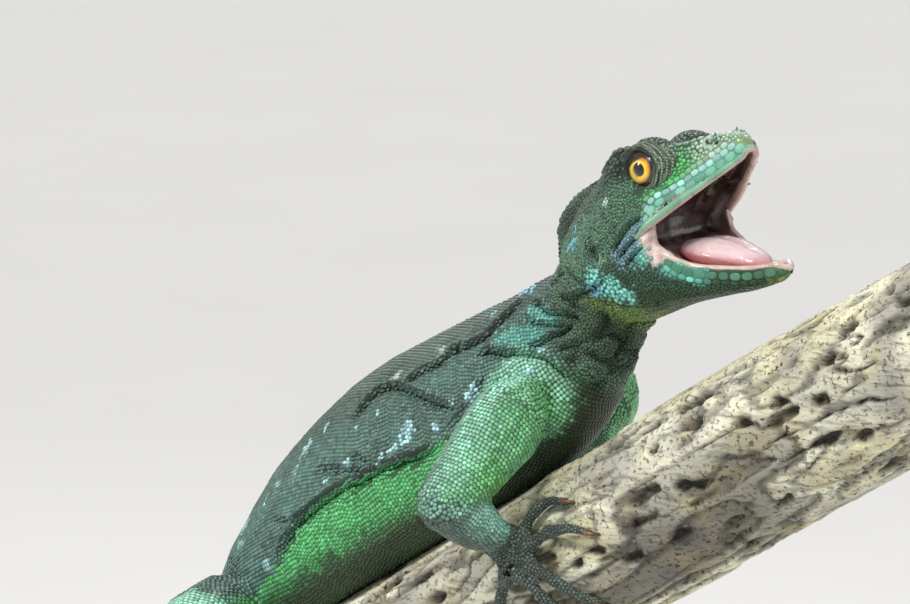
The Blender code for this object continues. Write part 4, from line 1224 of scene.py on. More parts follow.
class Markings:
    """The animal's colours as one function of place, for skin and scales alike."""

    back = paint(66, 88, 76)
    flank = paint(84, 124, 112)
    low_flank = paint(84, 178, 104)
    # dark olive: its darkness is painted shade low on the belly by the branch
    belly = paint(44, 66, 34)
    neck = paint(72, 106, 82)
    # near-black green: painted shade low on the chest
    chest = paint(26, 52, 26)
    arm = paint(142, 206, 176)
    arm_front = paint(104, 186, 112)
    arm_under = paint(96, 160, 72)
    arm_outer = paint(104, 136, 126)
    forearm = paint(140, 200, 178)
    wrist_grey = paint(72, 82, 74)
    hand = paint(76, 88, 80)
    thigh = paint(160, 226, 196)
    tail = paint(70, 100, 84)
    tail_band = paint(40, 52, 44)
    head = paint(78, 120, 92)
    brow = paint(56, 70, 56)
    snout = paint(172, 200, 176)
    loreal = paint(104, 176, 112)
    jaw = paint(40, 78, 54)
    chin = paint(150, 178, 96)
    throat = paint(50, 78, 42)
    throat_pale = paint(120, 152, 72)
    # dark red-brown, partly painted shade
    palate = paint(52, 26, 24)
    # near black: painted shade deep in the throat
    gullet = paint(26, 12, 12)
    gum = paint(226, 196, 190)
    floor = paint(196, 140, 138)
    tip = paint(222, 218, 168)
    # whitish: pale cheek skin at the mouth's corner; inside the mouth it is painted light shining through the thin skin
    membrane = paint(222, 204, 196)
    corner = paint(176, 140, 134)
    ochre = paint(176, 140, 76)

    def __init__(self, points: Array, shares: dict[str, Array], mouth: Array) -> None:
        """Keeps the places to paint.

        Args:
            points: places on the skin.
            shares: how much of each piece of the body every place belongs to.
            mouth: how much of every place is the mouth's lining.
        """
        self.points = folded(points)
        self.shares = shares
        self.mouth = mouth
        self.colour = np.tile(self.back, (len(points), 1))

    def wash(self, colour: Array, share: Array) -> None:
        """Lays a colour over the ones below it."""
        self.colour = laid_over(self.colour, colour, np.clip(share, 0.0, 1.0))

    def share_of(self, *names: str) -> Array:
        """How much every place belongs to these pieces of the body."""
        return sum(self.shares[name] for name in names)

    def trunk(self) -> None:
        """Back, flank, the bright lower flank under its fold, and the belly; the belly low down by the branch and the
        low chest are darkened as painted shade.
        """
        s, h = Model.perch.place(self.points)
        body = self.share_of(*BODY)
        self.wash(self.flank, body * ramp(30.0, 22.0, h) * (0.65 + 0.35 * noise(self.points, 4.2, 81)))
        self.wash(self.back * 0.8, body * ramp(0.15, 0.7, noise(self.points, 5.0, 82)) * 0.5)
        seam = guide(((-30, 6.0), (4, 9.0), (12, 13.0), (20, 14.2), (38, 13.4), (50, 12.0), (64, 12.0), (100, 12.0)), s)
        below = ramp(0.6, -0.6, h - seam[:, 0])
        self.wash(self.low_flank, body * below)
        # painted shade: the belly darkens low down by the branch
        self.wash(self.belly, body * ramp(8.0, 2.0, h))
        # painted shade: the low front of the chest is near-black green, darker still lower down
        self.wash(self.chest, self.share_of("chest") * ramp(62.0, 70.0, s) * ramp(20.0, 12.0, h))
        self.wash(self.belly * 0.8, self.share_of("chest") * ramp(66.0, 74.0, s) * ramp(11.0, 5.0, h))
        self.wash(self.neck, self.share_of("neck"))
        self.wash(self.throat, self.share_of("neck", "chest") * ramp(84.0, 92.0, s) * ramp(24.0, 17.0, h))
        self.wash(self.tail, self.share_of(*TAILS))

    def bands(self, reach: Array) -> None:
        """Faint dark rings on the tail."""
        ringed = 0.5 + 0.5 * np.sin(2.0 * math.pi * reach / 17.0)
        self.wash(self.tail_band, self.share_of(*TAILS) * ramp(0.55, 0.9, ringed) * 0.6)

    def limbs(self, normals: Array) -> None:
        """Arms and legs, green in front, grey behind and darker below; hands and feet grey. Below they are partly their
        own yellow-green and grey and partly painted shade.
        """
        behind, front = ramp(-0.1, -0.8, normals[:, 0]), ramp(0.25, 0.85, normals[:, 0])
        under = ramp(0.1, -0.7, normals[:, 2])
        soft = 0.35 * noise(self.points, 5.0, 83)
        joint, bend = np.array(Model.arm.joints[:2])
        bone = np.vstack([joint + 0.12 * (bend - joint), bend])
        shoulder = ramp(10.6, 4.6, to_line(self.points, bone)[0])
        elbow = ramp(9.0, 4.5, np.linalg.norm(self.points - bend, axis=1))
        # the elbow is greyed more where it faces back or down: partly its own grey, partly painted shade
        elbow *= np.clip(0.2 + behind + under, 0.0, 1.0)
        for side in ("right", "left"):
            upper, fore = self.share_of(f"upper_arm_{side}"), self.share_of(f"forearm_{side}")
            upper = np.maximum(upper, shoulder * self.share_of("chest"))
            self.wash(self.arm, upper)
            self.wash(self.arm_front, upper * np.clip(front + soft, 0.0, 1.0))
            self.wash(self.arm_outer, upper * np.clip(behind + soft, 0.0, 1.0) * 0.85)
            self.wash(self.wrist_grey, upper * elbow)
            self.wash(self.forearm, fore)
            # the forearm is greyed where it faces down: partly its own grey, partly painted shade
            self.wash(self.wrist_grey, fore * np.maximum(elbow, under) * 0.9)
            self.wash(self.wrist_grey, fore * np.clip(behind + soft + 0.2, 0.0, 1.0) * 0.8)
            self.wash(self.thigh, self.share_of(f"thigh_{side}", f"shank_{side}"))
            # the undersides of upper arm and thigh: partly their own yellow-green, partly painted shade
            self.wash(self.arm_under, self.share_of(f"upper_arm_{side}", f"thigh_{side}") * under * 0.8)
            self.wash(self.hand, self.share_of(f"hand_{side}", f"foot_{side}"))

    def head_colours(self) -> None:
        """Grey-green head, greener jaw, pale snout and dark brow."""
        back, _, up = Model.head.place(self.points)
        skull = self.share_of("head")
        self.wash(self.head, skull)
        self.wash(self.brow, skull * ramp(6.5, 9.0, up) * ramp(7.0, 11.0, back) * 0.85)
        self.wash(self.loreal, skull * ramp(14.5, 10.5, back) * ramp(7.0, 5.0, up) * 0.8)
        self.wash(self.snout, skull * ramp(9.0, 4.0, back) * 0.9)
        self.wash(self.head * 0.7, skull * ramp(0.2, 0.75, noise(self.points, 4.0, 85)) * ramp(12.0, 16.0, back) * 0.6)
        back, _, up = Model.head.place_in_jaw(self.points)
        jaw = self.share_of("lower_jaw")
        self.wash(self.jaw, jaw)
        self.wash(self.throat, jaw * ramp(-5.0, -8.0, up))
        self.wash(self.throat_pale, jaw * ramp(22.0, 30.0, back) * ramp(-8.0, -11.0, up) * 0.8)
        self.wash(self.chin, jaw * ramp(4.5, 0.5, back) * 0.85)

    def soft_corner(self, share: Array) -> None:
        """Pinkish skin with whitish folds at the corner of the mouth."""
        back, out, up = Model.head.place(self.points)
        streak = noise(np.column_stack([0.9 * back + 0.45 * up, 0.3 * (up - back), out]), (0.9, 3.0, 3.0), 72)
        self.wash(self.corner, share)
        self.wash(self.membrane, share * ramp(0.0, 0.5, streak))
        self.wash(self.ochre, share * ramp(0.35, 0.7, noise(self.points, 1.6, 73)) * 0.7)

    def mouth_colours(self) -> None:
        """Dark palate and gullet, pink floor, pale gums and cheek skin; the gullet's black and part of the palate's
        darkness are painted shade, and the whitish cheek skin inside the mouth is painted light shining through it.
        """
        back, out, up = Model.head.place(self.points)
        out = np.abs(out)
        lip_out, lip_up, _ = guide(Model.head.lip, back).T
        upper = self.mouth * self.share_of("head")
        # the palate: partly its own dark red-brown, partly painted shade
        self.wash(self.palate, upper)
        self.wash(self.gum, upper * ramp(2.2, 0.5, up - lip_up) * ramp(2.6, 1.2, lip_out - out) * 0.55)
        ridge = noise(np.column_stack([back, 3.0 * out, up]), (6.0, 1.6, 3.0), 74)
        self.wash(self.gum * 0.55, upper * ramp(0.1, 0.8, ridge) * 0.4)
        jaw_back, _, jaw_up = Model.head.place_in_jaw(self.points)
        rim_up = guide(Model.head.rim, jaw_back)[:, 1]
        lower = self.mouth * self.share_of("lower_jaw")
        self.wash(self.floor, lower)
        self.wash(self.gum, lower * ramp(-1.0, -0.2, jaw_up - rim_up) * ramp(22.0, 19.0, jaw_back))
        self.wash(self.tip, lower * ramp(2.4, 0.4, jaw_back))
        # painted light: the cheek skin inside the mouth is whitish as if lit through from behind
        self.wash(self.membrane, self.mouth * ramp(14.0, 18.5, back) * ramp(9.4, 10.6, out) * 0.9)
        # painted shade: the gullet deep in the mouth is near black
        self.wash(self.gullet, self.mouth * ramp(22.0, 30.0, back) * ramp(9.4, 8.2, out))

    def blotches(self) -> None:
        """Soft unevenness of tone all over, and the named marks."""
        broad, fine = rough(self.points, 9.0, 3), rough(self.points, 2.2, 5)
        self.colour *= (1.0 + 0.2 * broad + 0.2 * fine)[:, None]
        for mark in MARKS:
            self.wash(paint(*mark.colour), mark.share(self.points) * (1.0 - self.mouth))


# Skin


@dataclass
class Surface:
    """A closed skin: its corners, triangles and outward directions, with what each corner is part of."""

    points: Array
    triangles: Array
    edges: Array
    normals: Array
    owners: Array
    tint: Array = field(default_factory=lambda: np.zeros((0, 3)))
    bare: Array = field(default_factory=lambda: np.zeros(0))
    tree: Optional[BVHTree] = None

    def relax(self, weights: Array, rounds: int) -> None:
        """Evens the skin, each corner by its weight."""
        self.points = relaxed(self.points, self.edges, weights, rounds)

    def face_out(self) -> None:
        """Works out the outward directions again."""
        self.normals = normals_of(self.points, self.triangles)

    def grow_tree(self) -> None:
        """Makes the tree that finds places on the skin."""
        self.tree = BVHTree.FromPolygons(self.points.tolist(), self.triangles.tolist())

    def drop(self, start: Array, ahead: Array, reach: float) -> Optional[tuple[Array, int]]:
        """Where a straight line first meets the skin, and the triangle there."""
        place, _, index, _ = self.tree.ray_cast(Vector(start), Vector(ahead), reach)
        return None if place is None else (np.array(place), index)


@dataclass
class Skin:
    """One skin over the whole animal, in place of its separate solids."""

    voxel: float = 0.46
    swell: float = 0.22
    coat_depth: float = 0.16
    most_triangles: int = 186000
    socket_ball: float = 4.9
    body_rounds: int = 34  # of evening, here and below
    corner_rounds: int = 30
    ridge_rounds: int = 24
    lip_rounds: int = 10
    nostril_colour: tuple = (190, 206, 190)
    finish: HideFinish = field(default_factory=HideFinish)
    stay_out: tuple = (
        "tongue", "eye_right", "eye_left", "perch_branch", "stand_base", "stand_rod_front", "stand_rod_rear",
    )

    def nodes(self) -> list[str]:
        """The pieces of flesh that the skin stands for."""
        return sorted(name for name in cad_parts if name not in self.stay_out)

    def swollen(self, name: str) -> bpy.types.Object:
        """A copy of one solid, grown a little so that it meets its neighbours.

        Args:
            name: the solid's node.

        Returns:
            The copy.
        """
        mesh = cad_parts[name].data.copy()
        shape = bmesh.new()
        shape.from_mesh(mesh)
        bmesh.ops.remove_doubles(shape, verts=shape.verts, dist=1e-6)
        shape.normal_update()
        grown = [v.co + v.normal * min(v.calc_shell_factor(), 1.8) * self.swell * MM for v in shape.verts]
        for vertex, place in zip(shape.verts, grown):
            vertex.co = place
        shape.to_mesh(mesh)
        shape.free()
        made = bpy.data.objects.new("flesh_" + name, mesh)
        bpy.context.scene.collection.objects.link(made)
        return made

    def additions(self) -> list[bpy.types.Object]:
        """Balls that fill the eye sockets."""
        made = []
        for side, _ in SIDES:
            bare_selection()
            centre, radius = tuple(metres(Model.head.eye(side))), self.socket_ball * MM
            bpy.ops.mesh.primitive_uv_sphere_add(segments=32, ring_count=20, radius=radius, location=centre)
            made.append(bpy.context.object)
        return made

    def whole(self) -> bpy.types.Object:
        """All the flesh in one even mesh."""
        pieces = [self.swollen(name) for name in self.nodes()] + self.additions()
        skin = pick(*pieces)
        bpy.ops.object.join()
        bpy.ops.object.transform_apply(location=True, rotation=True, scale=True)
        skin.name = skin.data.name = "skin"
        apply_modifier(skin, "REMESH", mode="VOXEL", voxel_size=self.voxel * MM, use_smooth_shade=True)
        return skin

    def owner_tree(self) -> tuple[BVHTree, Array]:
        """A tree over the flesh solids, with the number of the node that each face is from."""
        points, faces, owner = [], [], []
        for number, name in enumerate(self.nodes()):
            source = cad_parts[name]
            start = len(points)
            points += corners_of(source).tolist()
            rows = triangles_of(source) + start
            faces += rows.tolist()
            owner += [number] * len(rows)
        return BVHTree.FromPolygons(points, faces), np.array(owner)

    def surface_of(self, skin: bpy.types.Object) -> Surface:
        """The skin's mesh as arrays, with the node that each corner is nearest to."""
        points, triangles = corners_of(skin), triangles_of(skin)
        tree, owner = self.owner_tree()
        owners = np.array([owner[tree.find_nearest(Vector(point))[2]] for point in points])
        return Surface(points, triangles, edges_of(skin), normals_of(points, triangles), owners)

    def owned(self, surface: Surface, names: Sequence[str]) -> Array:
        """Which corners belong to the named nodes."""
        return np.isin(surface.owners, [self.nodes().index(name) for name in names])

    def share(self, surface: Surface, names: Sequence[str], rounds: int) -> Array:
        """How much each corner belongs to the named nodes, softened over some rounds."""
        share = self.owned(surface, names).astype(float)
        for _ in range(rounds):
            share = 0.5 * share + 0.5 * neighbour_mean(share, surface.edges, len(share))
        return share

    def evened(self, surface: Surface) -> None:
        """Smooths the facets away, less on the head, the digits and the end of the tail."""
        head = self.share(surface, ["head", "lower_jaw"], 12)
        ends = self.share(surface, [n for n in self.nodes() if n.startswith(("hand", "foot")) or n == "tail_4"], 6)
        weights = np.clip(1.0 - 0.55 * head - 0.75 * ends, 0.0, 1.0)
        surface.relax(weights, self.body_rounds)
        surface.relax(self.corner_share(surface.points), self.corner_rounds)
        ridge = self.level_crest(surface)
        surface.relax(ramp(2.4, 1.4, Lips.nearest(folded(surface.points))), self.lip_rounds)
        surface.face_out()
        surface.normals[ridge & (surface.normals @ Model.perch.above < 0.75)] = Model.perch.above
        thin = np.clip(self.share(surface, ["tail_3", "tail_4"], 4) + 0.6 * ends, 0.0, 1.0)
        inward = self.swell + self.coat_depth * (1.0 - 0.7 * thin)
        surface.points = surface.points - surface.normals * inward[:, None]

    def level_crest(self, surface: Surface) -> Array:
        """Brings the middle of the back down to the line of its flanks, and tells which corners are there."""
        mine = np.flatnonzero(self.owned(surface, ("neck", *BODY, "tail_1")))
        points = surface.points[mine]
        s, h = Model.perch.place(points)
        aside = np.abs(points[:, 1])
        flank_from, flank_to, half_step = 1.7, 2.9, 1.6
        backs = (aside > flank_from) & (aside < flank_to)
        stations = np.arange(-40.0, 100.0, 2.0)
        tops = []
        for station in stations:
            near = backs & (np.abs(s - station) < half_step)
            tops.append(np.median(h[near & (h > h[near].max() - 2.5)]) if near.any() else -99.0)
        level = np.interp(s, stations, tops)
        over = np.where(level > 3.0, np.maximum(h - level - 0.2, 0.0), 0.0) * ramp(3.0, 2.0, aside)
        surface.points[mine] -= over[:, None] * Model.perch.above
        ridge = np.zeros(len(surface.points))
        ridge[mine] = ramp(2.6, 1.6, aside) * (h > np.maximum(level - 0.7, 3.0))
        surface.relax(ridge, self.ridge_rounds)
        return ridge > 0.1

    @staticmethod
    def corner_share(points: Array) -> Array:
        """Nearness to the corner of the mouth, where the cheek's skin is softest."""
        back, out, up = Model.head.place(folded(points))
        share = ramp(15.5, 18.0, back) * ramp(27.0, 23.5, back) * ramp(-1.0, -3.0, up)
        return share * ramp(-13.0, -10.5, up) * ramp(-7.0, -8.5, out)

    def round_tail(self, surface: Surface) -> None:
        """Brings the tail to its true oval section."""
        line, heading, reach = Model.tail.line()
        mine = np.flatnonzero(self.owned(surface, TAILS))
        points = surface.points[mine]
        nearest = np.concatenate(
            [np.linalg.norm(part[:, None] - line[None], axis=2).argmin(axis=1) for part in np.array_split(points, 40)]
        )
        ahead = heading[nearest]
        side = unit(np.cross(ahead, UP))
        rise = np.cross(side, ahead)
        offset = points - line[nearest]
        along, a, b = ((offset * axis).sum(axis=1) for axis in (ahead, side, rise))
        depth, width = (guide(Model.tail.sizes, reach[nearest]) - 0.1).T
        depth, width = np.maximum(depth, 0.2), np.maximum(width, 0.2)
        stretch = 1.0 / np.maximum(np.hypot(a / width, b / depth), 0.05)
        target = line[nearest] + along[:, None] * ahead + (stretch * a)[:, None] * side + (stretch * b)[:, None] * rise
        share = ramp(20.0, 34.0, reach[nearest]) * ramp(410.0, 404.0, reach[nearest])
        surface.points[mine] += share[:, None] * (target - points)

    def round_digits(self, surface: Surface) -> None:
        """Makes the fingers and toes slender and round, and draws the skin back from the claws."""
        for plan in LIMBS:
            for side, suffix in SIDES:
                number = self.nodes().index(f"{plan.names[2]}_{suffix}")
                mine = np.flatnonzero(surface.owners == number)
                points = surface.points[mine]
                best, target, weight = np.full(len(mine), 1e9), points.copy(), np.zeros(len(mine))
                for route in plan.routes:
                    path, radii = plan.digit(route, side)
                    far, share, foot = to_line(points, path)
                    radius = np.interp(share, np.linspace(0.0, 1.0, len(radii)), radii) - self.coat_depth
                    radius *= np.where(share > 0.999, 0.8, 1.0)
                    close = np.where(share > 0.999, ramp(6.5, 5.5, far), ramp(3.4, 2.5, far))
                    nearer = far < best
                    best = np.where(nearer, far, best)
                    shaped = foot + unit(points - foot) * radius[:, None]
                    target = np.where(nearer[:, None], shaped, target)
                    weight = np.where(nearer, close * ramp(0.05, 0.25, share), weight)
                surface.points[mine] += weight[:, None] * (target - points)

    def sculpt(self, surface: Surface) -> None:
        """Folds, wrinkles, nostrils, ears and the beds of the lids."""
        points = folded(surface.points)
        mine = 1.0 - self.share(surface, [n for n in self.nodes() if n.startswith(("upper_arm", "forearm"))], 3)
        shift = mine * all_folds(points)[0]
        turned = Model.perch.turned(points)
        shift += self.share(surface, BODY, 8) * 0.16 * noise(turned, (7.0, 5.0, 2.6), 11)
        shift += self.share(surface, ["neck"], 8) * 0.5 * (1.0 - 2.6 * self.pleats(points))
        shift += 0.06 * noise(points, 3.0, 12)
        for centre, radius, depth, rim in ((Model.head.nostril, 0.85, 1.6, 0.4), (Model.head.ear, 1.7, 0.75, 0.3)):
            far = self.from_opening(points, centre)
            shift -= depth * ramp(radius * 1.15, radius * 0.75, far)
            shift += rim * np.exp(-(((far - 1.5 * radius) / (0.45 * radius)) ** 2))
        surface.points = surface.points + shift[:, None] * surface.normals
        for side, _ in SIDES:
            self.bed_lids(surface, side)
        surface.face_out()

    @staticmethod
    def from_opening(points: Array, centre: Place) -> Array:
        """Distance of every right-side point to the skin at an opening of the head."""
        back, out, up = Model.head.place(points)
        places = np.column_stack([back, -out, up])
        nearest = places[np.linalg.norm(places - np.array(centre), axis=1).argmin()]
        return np.linalg.norm(places - nearest, axis=1)

    @staticmethod
    def bed_lids(surface: Surface, side: int) -> None:
        """Sinks the skin under one eye and its lids."""
        offset = surface.points - Model.head.eye(side)
        radius = np.linalg.norm(offset, axis=1)
        near = np.flatnonzero(radius < LID_REACH)
        turn, phi = Lids.angles(offset[near], side)
        limit = Lids.outer(phi)
        deepest, rise = 3.9, 0.7
        sunk = deepest + rise * ramp(-30.0, -10.0, turn - limit)
        share = ramp(-3.0, -10.0, turn - limit)
        new = radius[near] + share * (np.minimum(sunk, radius[near]) - radius[near])
        surface.points[near] = Model.head.eye(side) + offset[near] * (new / radius[near])[:, None]

    def mouth_share(self, surface: Surface) -> Array:
        """How much of each corner is the mouth's lining, told by where it is and where it faces."""
        head = Model.head
        mine = self.owned(surface, ("head", "lower_jaw"))
        side = np.sign(surface.points[:, 1])
        back, out, up = head.place(surface.points)
        jaw_back, _, jaw_up = head.place_in_jaw(surface.points)
        out = np.abs(out)
        lip_out, lip_up, roof = guide(head.lip, back).T
        rim_out, rim_up, floor = guide(head.rim, jaw_back).T
        facing_out, down = surface.normals[:, 1] * side, surface.normals @ -head.above
        under = ramp(0.9, 0.4, up - roof)
        over = ramp(-0.8, -0.3, jaw_up - floor)
        upper = under * ramp(0.2, -0.4, out - lip_out) * ramp(0.4, 0.0, facing_out) * ramp(-0.2, 0.5, back)
        upper *= ramp(-3.2, -2.6, up - lip_up) * ramp(26.0, 24.0, back)
        lower = under * over * ramp(0.4, -0.2, out - rim_out) * ramp(0.55, 0.2, facing_out) * ramp(31.0, 29.0, jaw_back)
        lower *= ramp(0.1, 0.5, surface.normals[:, 2] - 0.6 * facing_out)
        inward = under * over * ramp(-0.12, -0.3, facing_out) * ramp(1.0, 3.0, back) * ramp(31.0, 29.0, back)
        throat = under * over * ramp(10.2, 9.4, out) * ramp(18.0, 20.0, back) * ramp(33.0, 31.0, back)
        under_lip = ramp(0.30, 0.5, down) * (np.abs(up - lip_up - 0.4) < 1.6) * (out > lip_out - 3.0)
        under_lip *= ramp(0.4, 1.2, back)
        under_lip *= ramp(22.0, 20.0, back) * ramp(0.35, 0.1, facing_out)
        over_rim = ramp(0.5, 0.7, -down) * (np.abs(jaw_up - rim_up + 0.4) < 1.4) * under * ramp(21.0, 19.5, jaw_back)
        share = mine * np.maximum.reduce([upper, lower, inward, throat, under_lip, over_rim])
        above_lip = Lips.away(folded(surface.points), False) < 3.0
        share *= 1.0 - above_lip * ramp(0.0, 0.25, facing_out) * ramp(-0.2, 0.3, up - lip_up) * (back < 21.0)
        return 0.5 * share + 0.5 * neighbour_mean(share, surface.edges, len(share))

    @staticmethod
    def pleats(points: Array) -> Array:
        """How deep each place is in the small pleats of loose skin, 0 to 1."""
        return ramp(0.34, 0.0, np.abs(noise(Model.perch.turned(points), (7.0, 5.0, 2.3), 13)))

    @staticmethod
    def soft_share(points: Array) -> Array:
        """How much of each right-side point is the bare soft skin at the corner of the mouth."""
        back, out, up = Model.head.place(points)
        share = ramp(21.9, 20.7, back) * ramp(16.0, 17.0, back) * ramp(-2.2, -3.0, up)
        return share * ramp(-9.6, -8.8, up) * (out < -8.5)

    def coloured(self, surface: Surface) -> Array:
        """Paints the skin and marks where it stays bare."""
        mouth = self.mouth_share(surface)
        shares = {name: self.share(surface, [name], 7) for name in self.nodes()}
        marks = Markings(surface.points, shares, mouth)
        marks.trunk()
        tail = np.flatnonzero(marks.share_of(*TAILS) > 0.01)
        distance = np.zeros(len(surface.points))
        distance[tail] = to_line(surface.points[tail], Model.tail.line(160)[0])[1] * Model.tail.length
        marks.bands(distance)
        marks.limbs(surface.normals)
        marks.head_colours()
        marks.blotches()
        flat = folded(surface.points)
        soft = self.soft_share(flat) * (1.0 - mouth)
        marks.soft_corner(soft)
        marks.mouth_colours()
        # painted shade: the skin is darkened in the folds' creases and in the neck's pleats
        furrow = all_folds(flat)[1]
        crease = np.maximum(furrow, 0.75 * self.share(surface, ["neck"], 8) * self.pleats(flat))
        surface.tint = marks.colour * (1.0 - 0.84 * crease**1.7 * (1.0 - mouth))[:, None]
        surface.bare = np.maximum.reduce([mouth, soft, 1.0 * (furrow > 0.72)])
        for side, _ in SIDES:
            offset = surface.points - Model.head.eye(side)
            turn, phi = Lids.angles(offset, side)
            under_lids = (np.linalg.norm(offset, axis=1) < LID_REACH) & (turn < Lids.outer(phi) - 3.0)
            surface.bare = np.maximum(surface.bare, under_lids)
        facing_in = surface.normals[:, 1] * -np.sign(surface.points[:, 1])
        far = Lips.nearest(flat)
        surface.bare = np.maximum(surface.bare, (far < 1.0) | ((far < 2.6) & (facing_in > -0.12)))
        gap = self.from_opening(flat, Model.head.nostril)
        surface.tint = laid_over(surface.tint, paint(*self.nostril_colour), 0.6 * ramp(2.0, 1.0, gap))
        # painted shade: the nostril's pit is darkened to near black
        surface.tint *= (0.04 + 0.96 * ramp(0.55, 0.8, gap))[:, None]
        surface.bare = np.maximum(surface.bare, gap < 1.25)
        return mouth

    def build(self) -> tuple[bpy.types.Object, Surface]:
        """Makes the skin.

        Returns:
            The skin's object and its surface, which the scales are laid on.
        """
        skin = self.whole()
        surface = self.surface_of(skin)
        self.evened(surface)
        self.round_tail(surface)
        self.round_digits(surface)
        surface.face_out()
        self.sculpt(surface)
        move_corners(skin, surface.points)
        ratio = self.most_triangles / len(surface.triangles)
        if ratio < 1.0:
            apply_modifier(skin, "DECIMATE", decimate_type="COLLAPSE", ratio=ratio)
        surface = self.surface_of(skin)
        surface.grow_tree()
        mouth = self.coloured(surface)
        flat = folded(surface.points)
        nose = ramp(1.5, 1.2, self.from_opening(flat, Model.head.nostril))
        beds = 0.5 * ramp(5.0, 3.8, Lips.nearest(flat))
        # outside the mouth, the soft corner, the lip beds and the nostrils the skin is kept at a fifth of its colour:
        # partly its own dark colour between the scales, partly painted shade in the gaps between them
        dark_skin_and_gap_shade = 0.2 + 0.8 * np.clip(mouth + self.soft_share(flat) + beds + nose, 0.0, 1.0)
        set_tint(skin, surface.tint * dark_skin_and_gap_shade[:, None])
        set_wet(skin, mouth)
        skin.data.materials.clear()
        skin.data.materials.append(self.finish.material())
        skin.data.shade_smooth()
        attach(skin, "root")
        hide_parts(*self.nodes())
        return skin, surface


# Scales


class Shape(Enum):
    """The forms a scale may have."""

    BEAD = "bead"
    SHIELD = "shield"
    PLATE = "plate"
    SPIKE = "spike"


@dataclass(frozen=True)
class Form:
    """One form of scale: rings from the sunk foot up, then a peak."""

    # the lightness of each ring and of the peak is painted light and shade: dark at the sunk foot for painted shade
    # between the scales, light at the peak for a painted highlight
    steps: tuple  # share of the outline, height, lightness
    peak: tuple  # how far back, height, lightness
    lift: float  # how much higher the hind edge stands
    square: float  # 2 for an oval outline, more for a squarer one
    sides: int = 8

    @property
    def turns(self) -> Array:
        """Directions of the outline's corners, from the backward one."""
        return (np.arange(self.sides) + 0.5) * 2.0 * math.pi / self.sides

    def oval(self, length: Array, width: Array) -> Array:
        """Reach of the outline in each direction, for scales of these sizes."""
        ahead = np.abs(np.cos(self.turns)) / (0.5 * length[:, None])
        across = np.abs(np.sin(self.turns)) / (0.5 * width[:, None])
        return (ahead**self.square + across**self.square) ** (-1.0 / self.square)

    def faces(self) -> Array:
        """Triangles of one scale."""
        sides, made = self.sides, []
        for a, b, c, d in strip(len(self.steps), sides):
            made += [(a, d, c), (a, c, b)]
        top, last = len(self.steps) * sides, (len(self.steps) - 1) * sides
        return np.array(made + [(last + k, last + (k + 1) % sides, top) for k in range(sides)])

    def corners(self, reach: Array) -> Array:
        """Corners of scales with these outlines: back, across and height, the height still at size one."""
        rings = []
        for share, height, _ in self.steps:
            rise = height + self.lift * np.cos(self.turns) * (height > 0.0)
            level, far = np.broadcast_to(rise, reach.shape), share * reach
            rings.append(np.stack([far * np.cos(self.turns), far * np.sin(self.turns), level], axis=2))
        peak = np.zeros((len(reach), 1, 3))
        peak[:, 0, 0] = self.peak[0] * reach.min(axis=1)
        peak[:, 0, 2] = self.peak[1]
        return np.concatenate(rings + [peak], axis=1)

    def light(self) -> Array:
        """Lightness of each corner of one scale: painted shade at the sunk foot, a painted highlight at the peak."""
        return np.array([step[2] for step in self.steps for _ in range(self.sides)] + [self.peak[2]])


# the last figure of each ring and of the peak: painted shade low down between the scales, a painted highlight on top
FORMS = {
    Shape.BEAD: Form(((1.0, -0.55, 0.12), (0.86, 0.66, 0.86)), (0.0, 1.0, 1.15), 0.05, 2.0),
    Shape.SHIELD: Form(((1.0, -0.55, 0.10), (0.90, 0.64, 0.84)), (0.35, 1.0, 1.2), 0.36, 2.4),
    Shape.PLATE: Form(((1.0, -0.6, 0.25), (0.95, 0.5, 0.82), (0.80, 0.92, 1.0)), (0.0, 1.0, 1.05), 0.08, 4.0, 10),
    Shape.SPIKE: Form(((1.0, -0.3, 0.5), (0.82, 0.42, 0.88), (0.5, 0.8, 1.0)), (0.55, 1.0, 1.1), 0.0, 2.2),
}
FITTED = (Shape.BEAD, Shape.SHIELD)


@dataclass
class Scales:
    """Many scales of one form, one row of the table for each."""

    shape: Shape
    centres: Array
    normals: Array
    backward: Array
    length: Array
    width: Array
    height: Array
    tint: Array
    owners: Array
    reach: Array

    def __len__(self) -> int:
        """How many scales there are."""
        return len(self.centres)

    def kept(self, keep: Array) -> "Scales":
        """Only the scales that are asked for."""
        rows = [getattr(self, name)[keep] for name in self.columns()]
        return Scales(self.shape, *rows)

    @staticmethod
    def columns() -> tuple[str, ...]:
        """Names of the table's columns."""
        return ("centres", "normals", "backward", "length", "width", "height", "tint", "owners", "reach")

    @staticmethod
    def joined(shape: Shape, groups: Sequence["Scales"]) -> "Scales":
        """Several tables of one form as one."""
        rows = [np.concatenate([getattr(group, name) for group in groups]) for name in Scales.columns()]
        return Scales(shape, *rows)


MOST_IN_PIECE = 185000  # triangles
FAN = ((42.0, -10.2, 10.8), (45.5, -10.6, 9.9), (49.5, -9.8, 8.6))  # line of larger granules on the throat


@dataclass
class Room:
    """The places on the skin that are taken."""

    cell: float = 1.1
    taken: dict[tuple, list] = field(default_factory=dict)

    def key(self, spot: Sequence[float]) -> tuple:
        """The cell that a spot is in."""
        return tuple(int(value // self.cell) for value in spot)

    def near(self, spot: Sequence[float], radius: float, share: float) -> bool:
        """Whether a scale that is already there is too near a spot."""
        (x, y, z), (i, j, k) = spot, self.key(spot)
        for di in (-1, 0, 1):
            for dj in (-1, 0, 1):
                for dk in (-1, 0, 1):
                    for px, py, pz, other in self.taken.get((i + di, j + dj, k + dk), ()):
                        least = share * (radius + other)
                        if (px - x) ** 2 + (py - y) ** 2 + (pz - z) ** 2 < least * least:
                            return True
        return False

    def settle(self, spots: Array, radii: Array, share: float) -> Array:
        """Takes room for each spot in turn, and gives the numbers of those that found it."""
        chosen = []
        for number, (spot, radius) in enumerate(zip(spots.tolist(), radii.tolist())):
            if not self.near(spot, radius, share):
                self.taken.setdefault(self.key(spot), []).append((*spot, radius))
                chosen.append(number)
        return np.array(chosen, int)


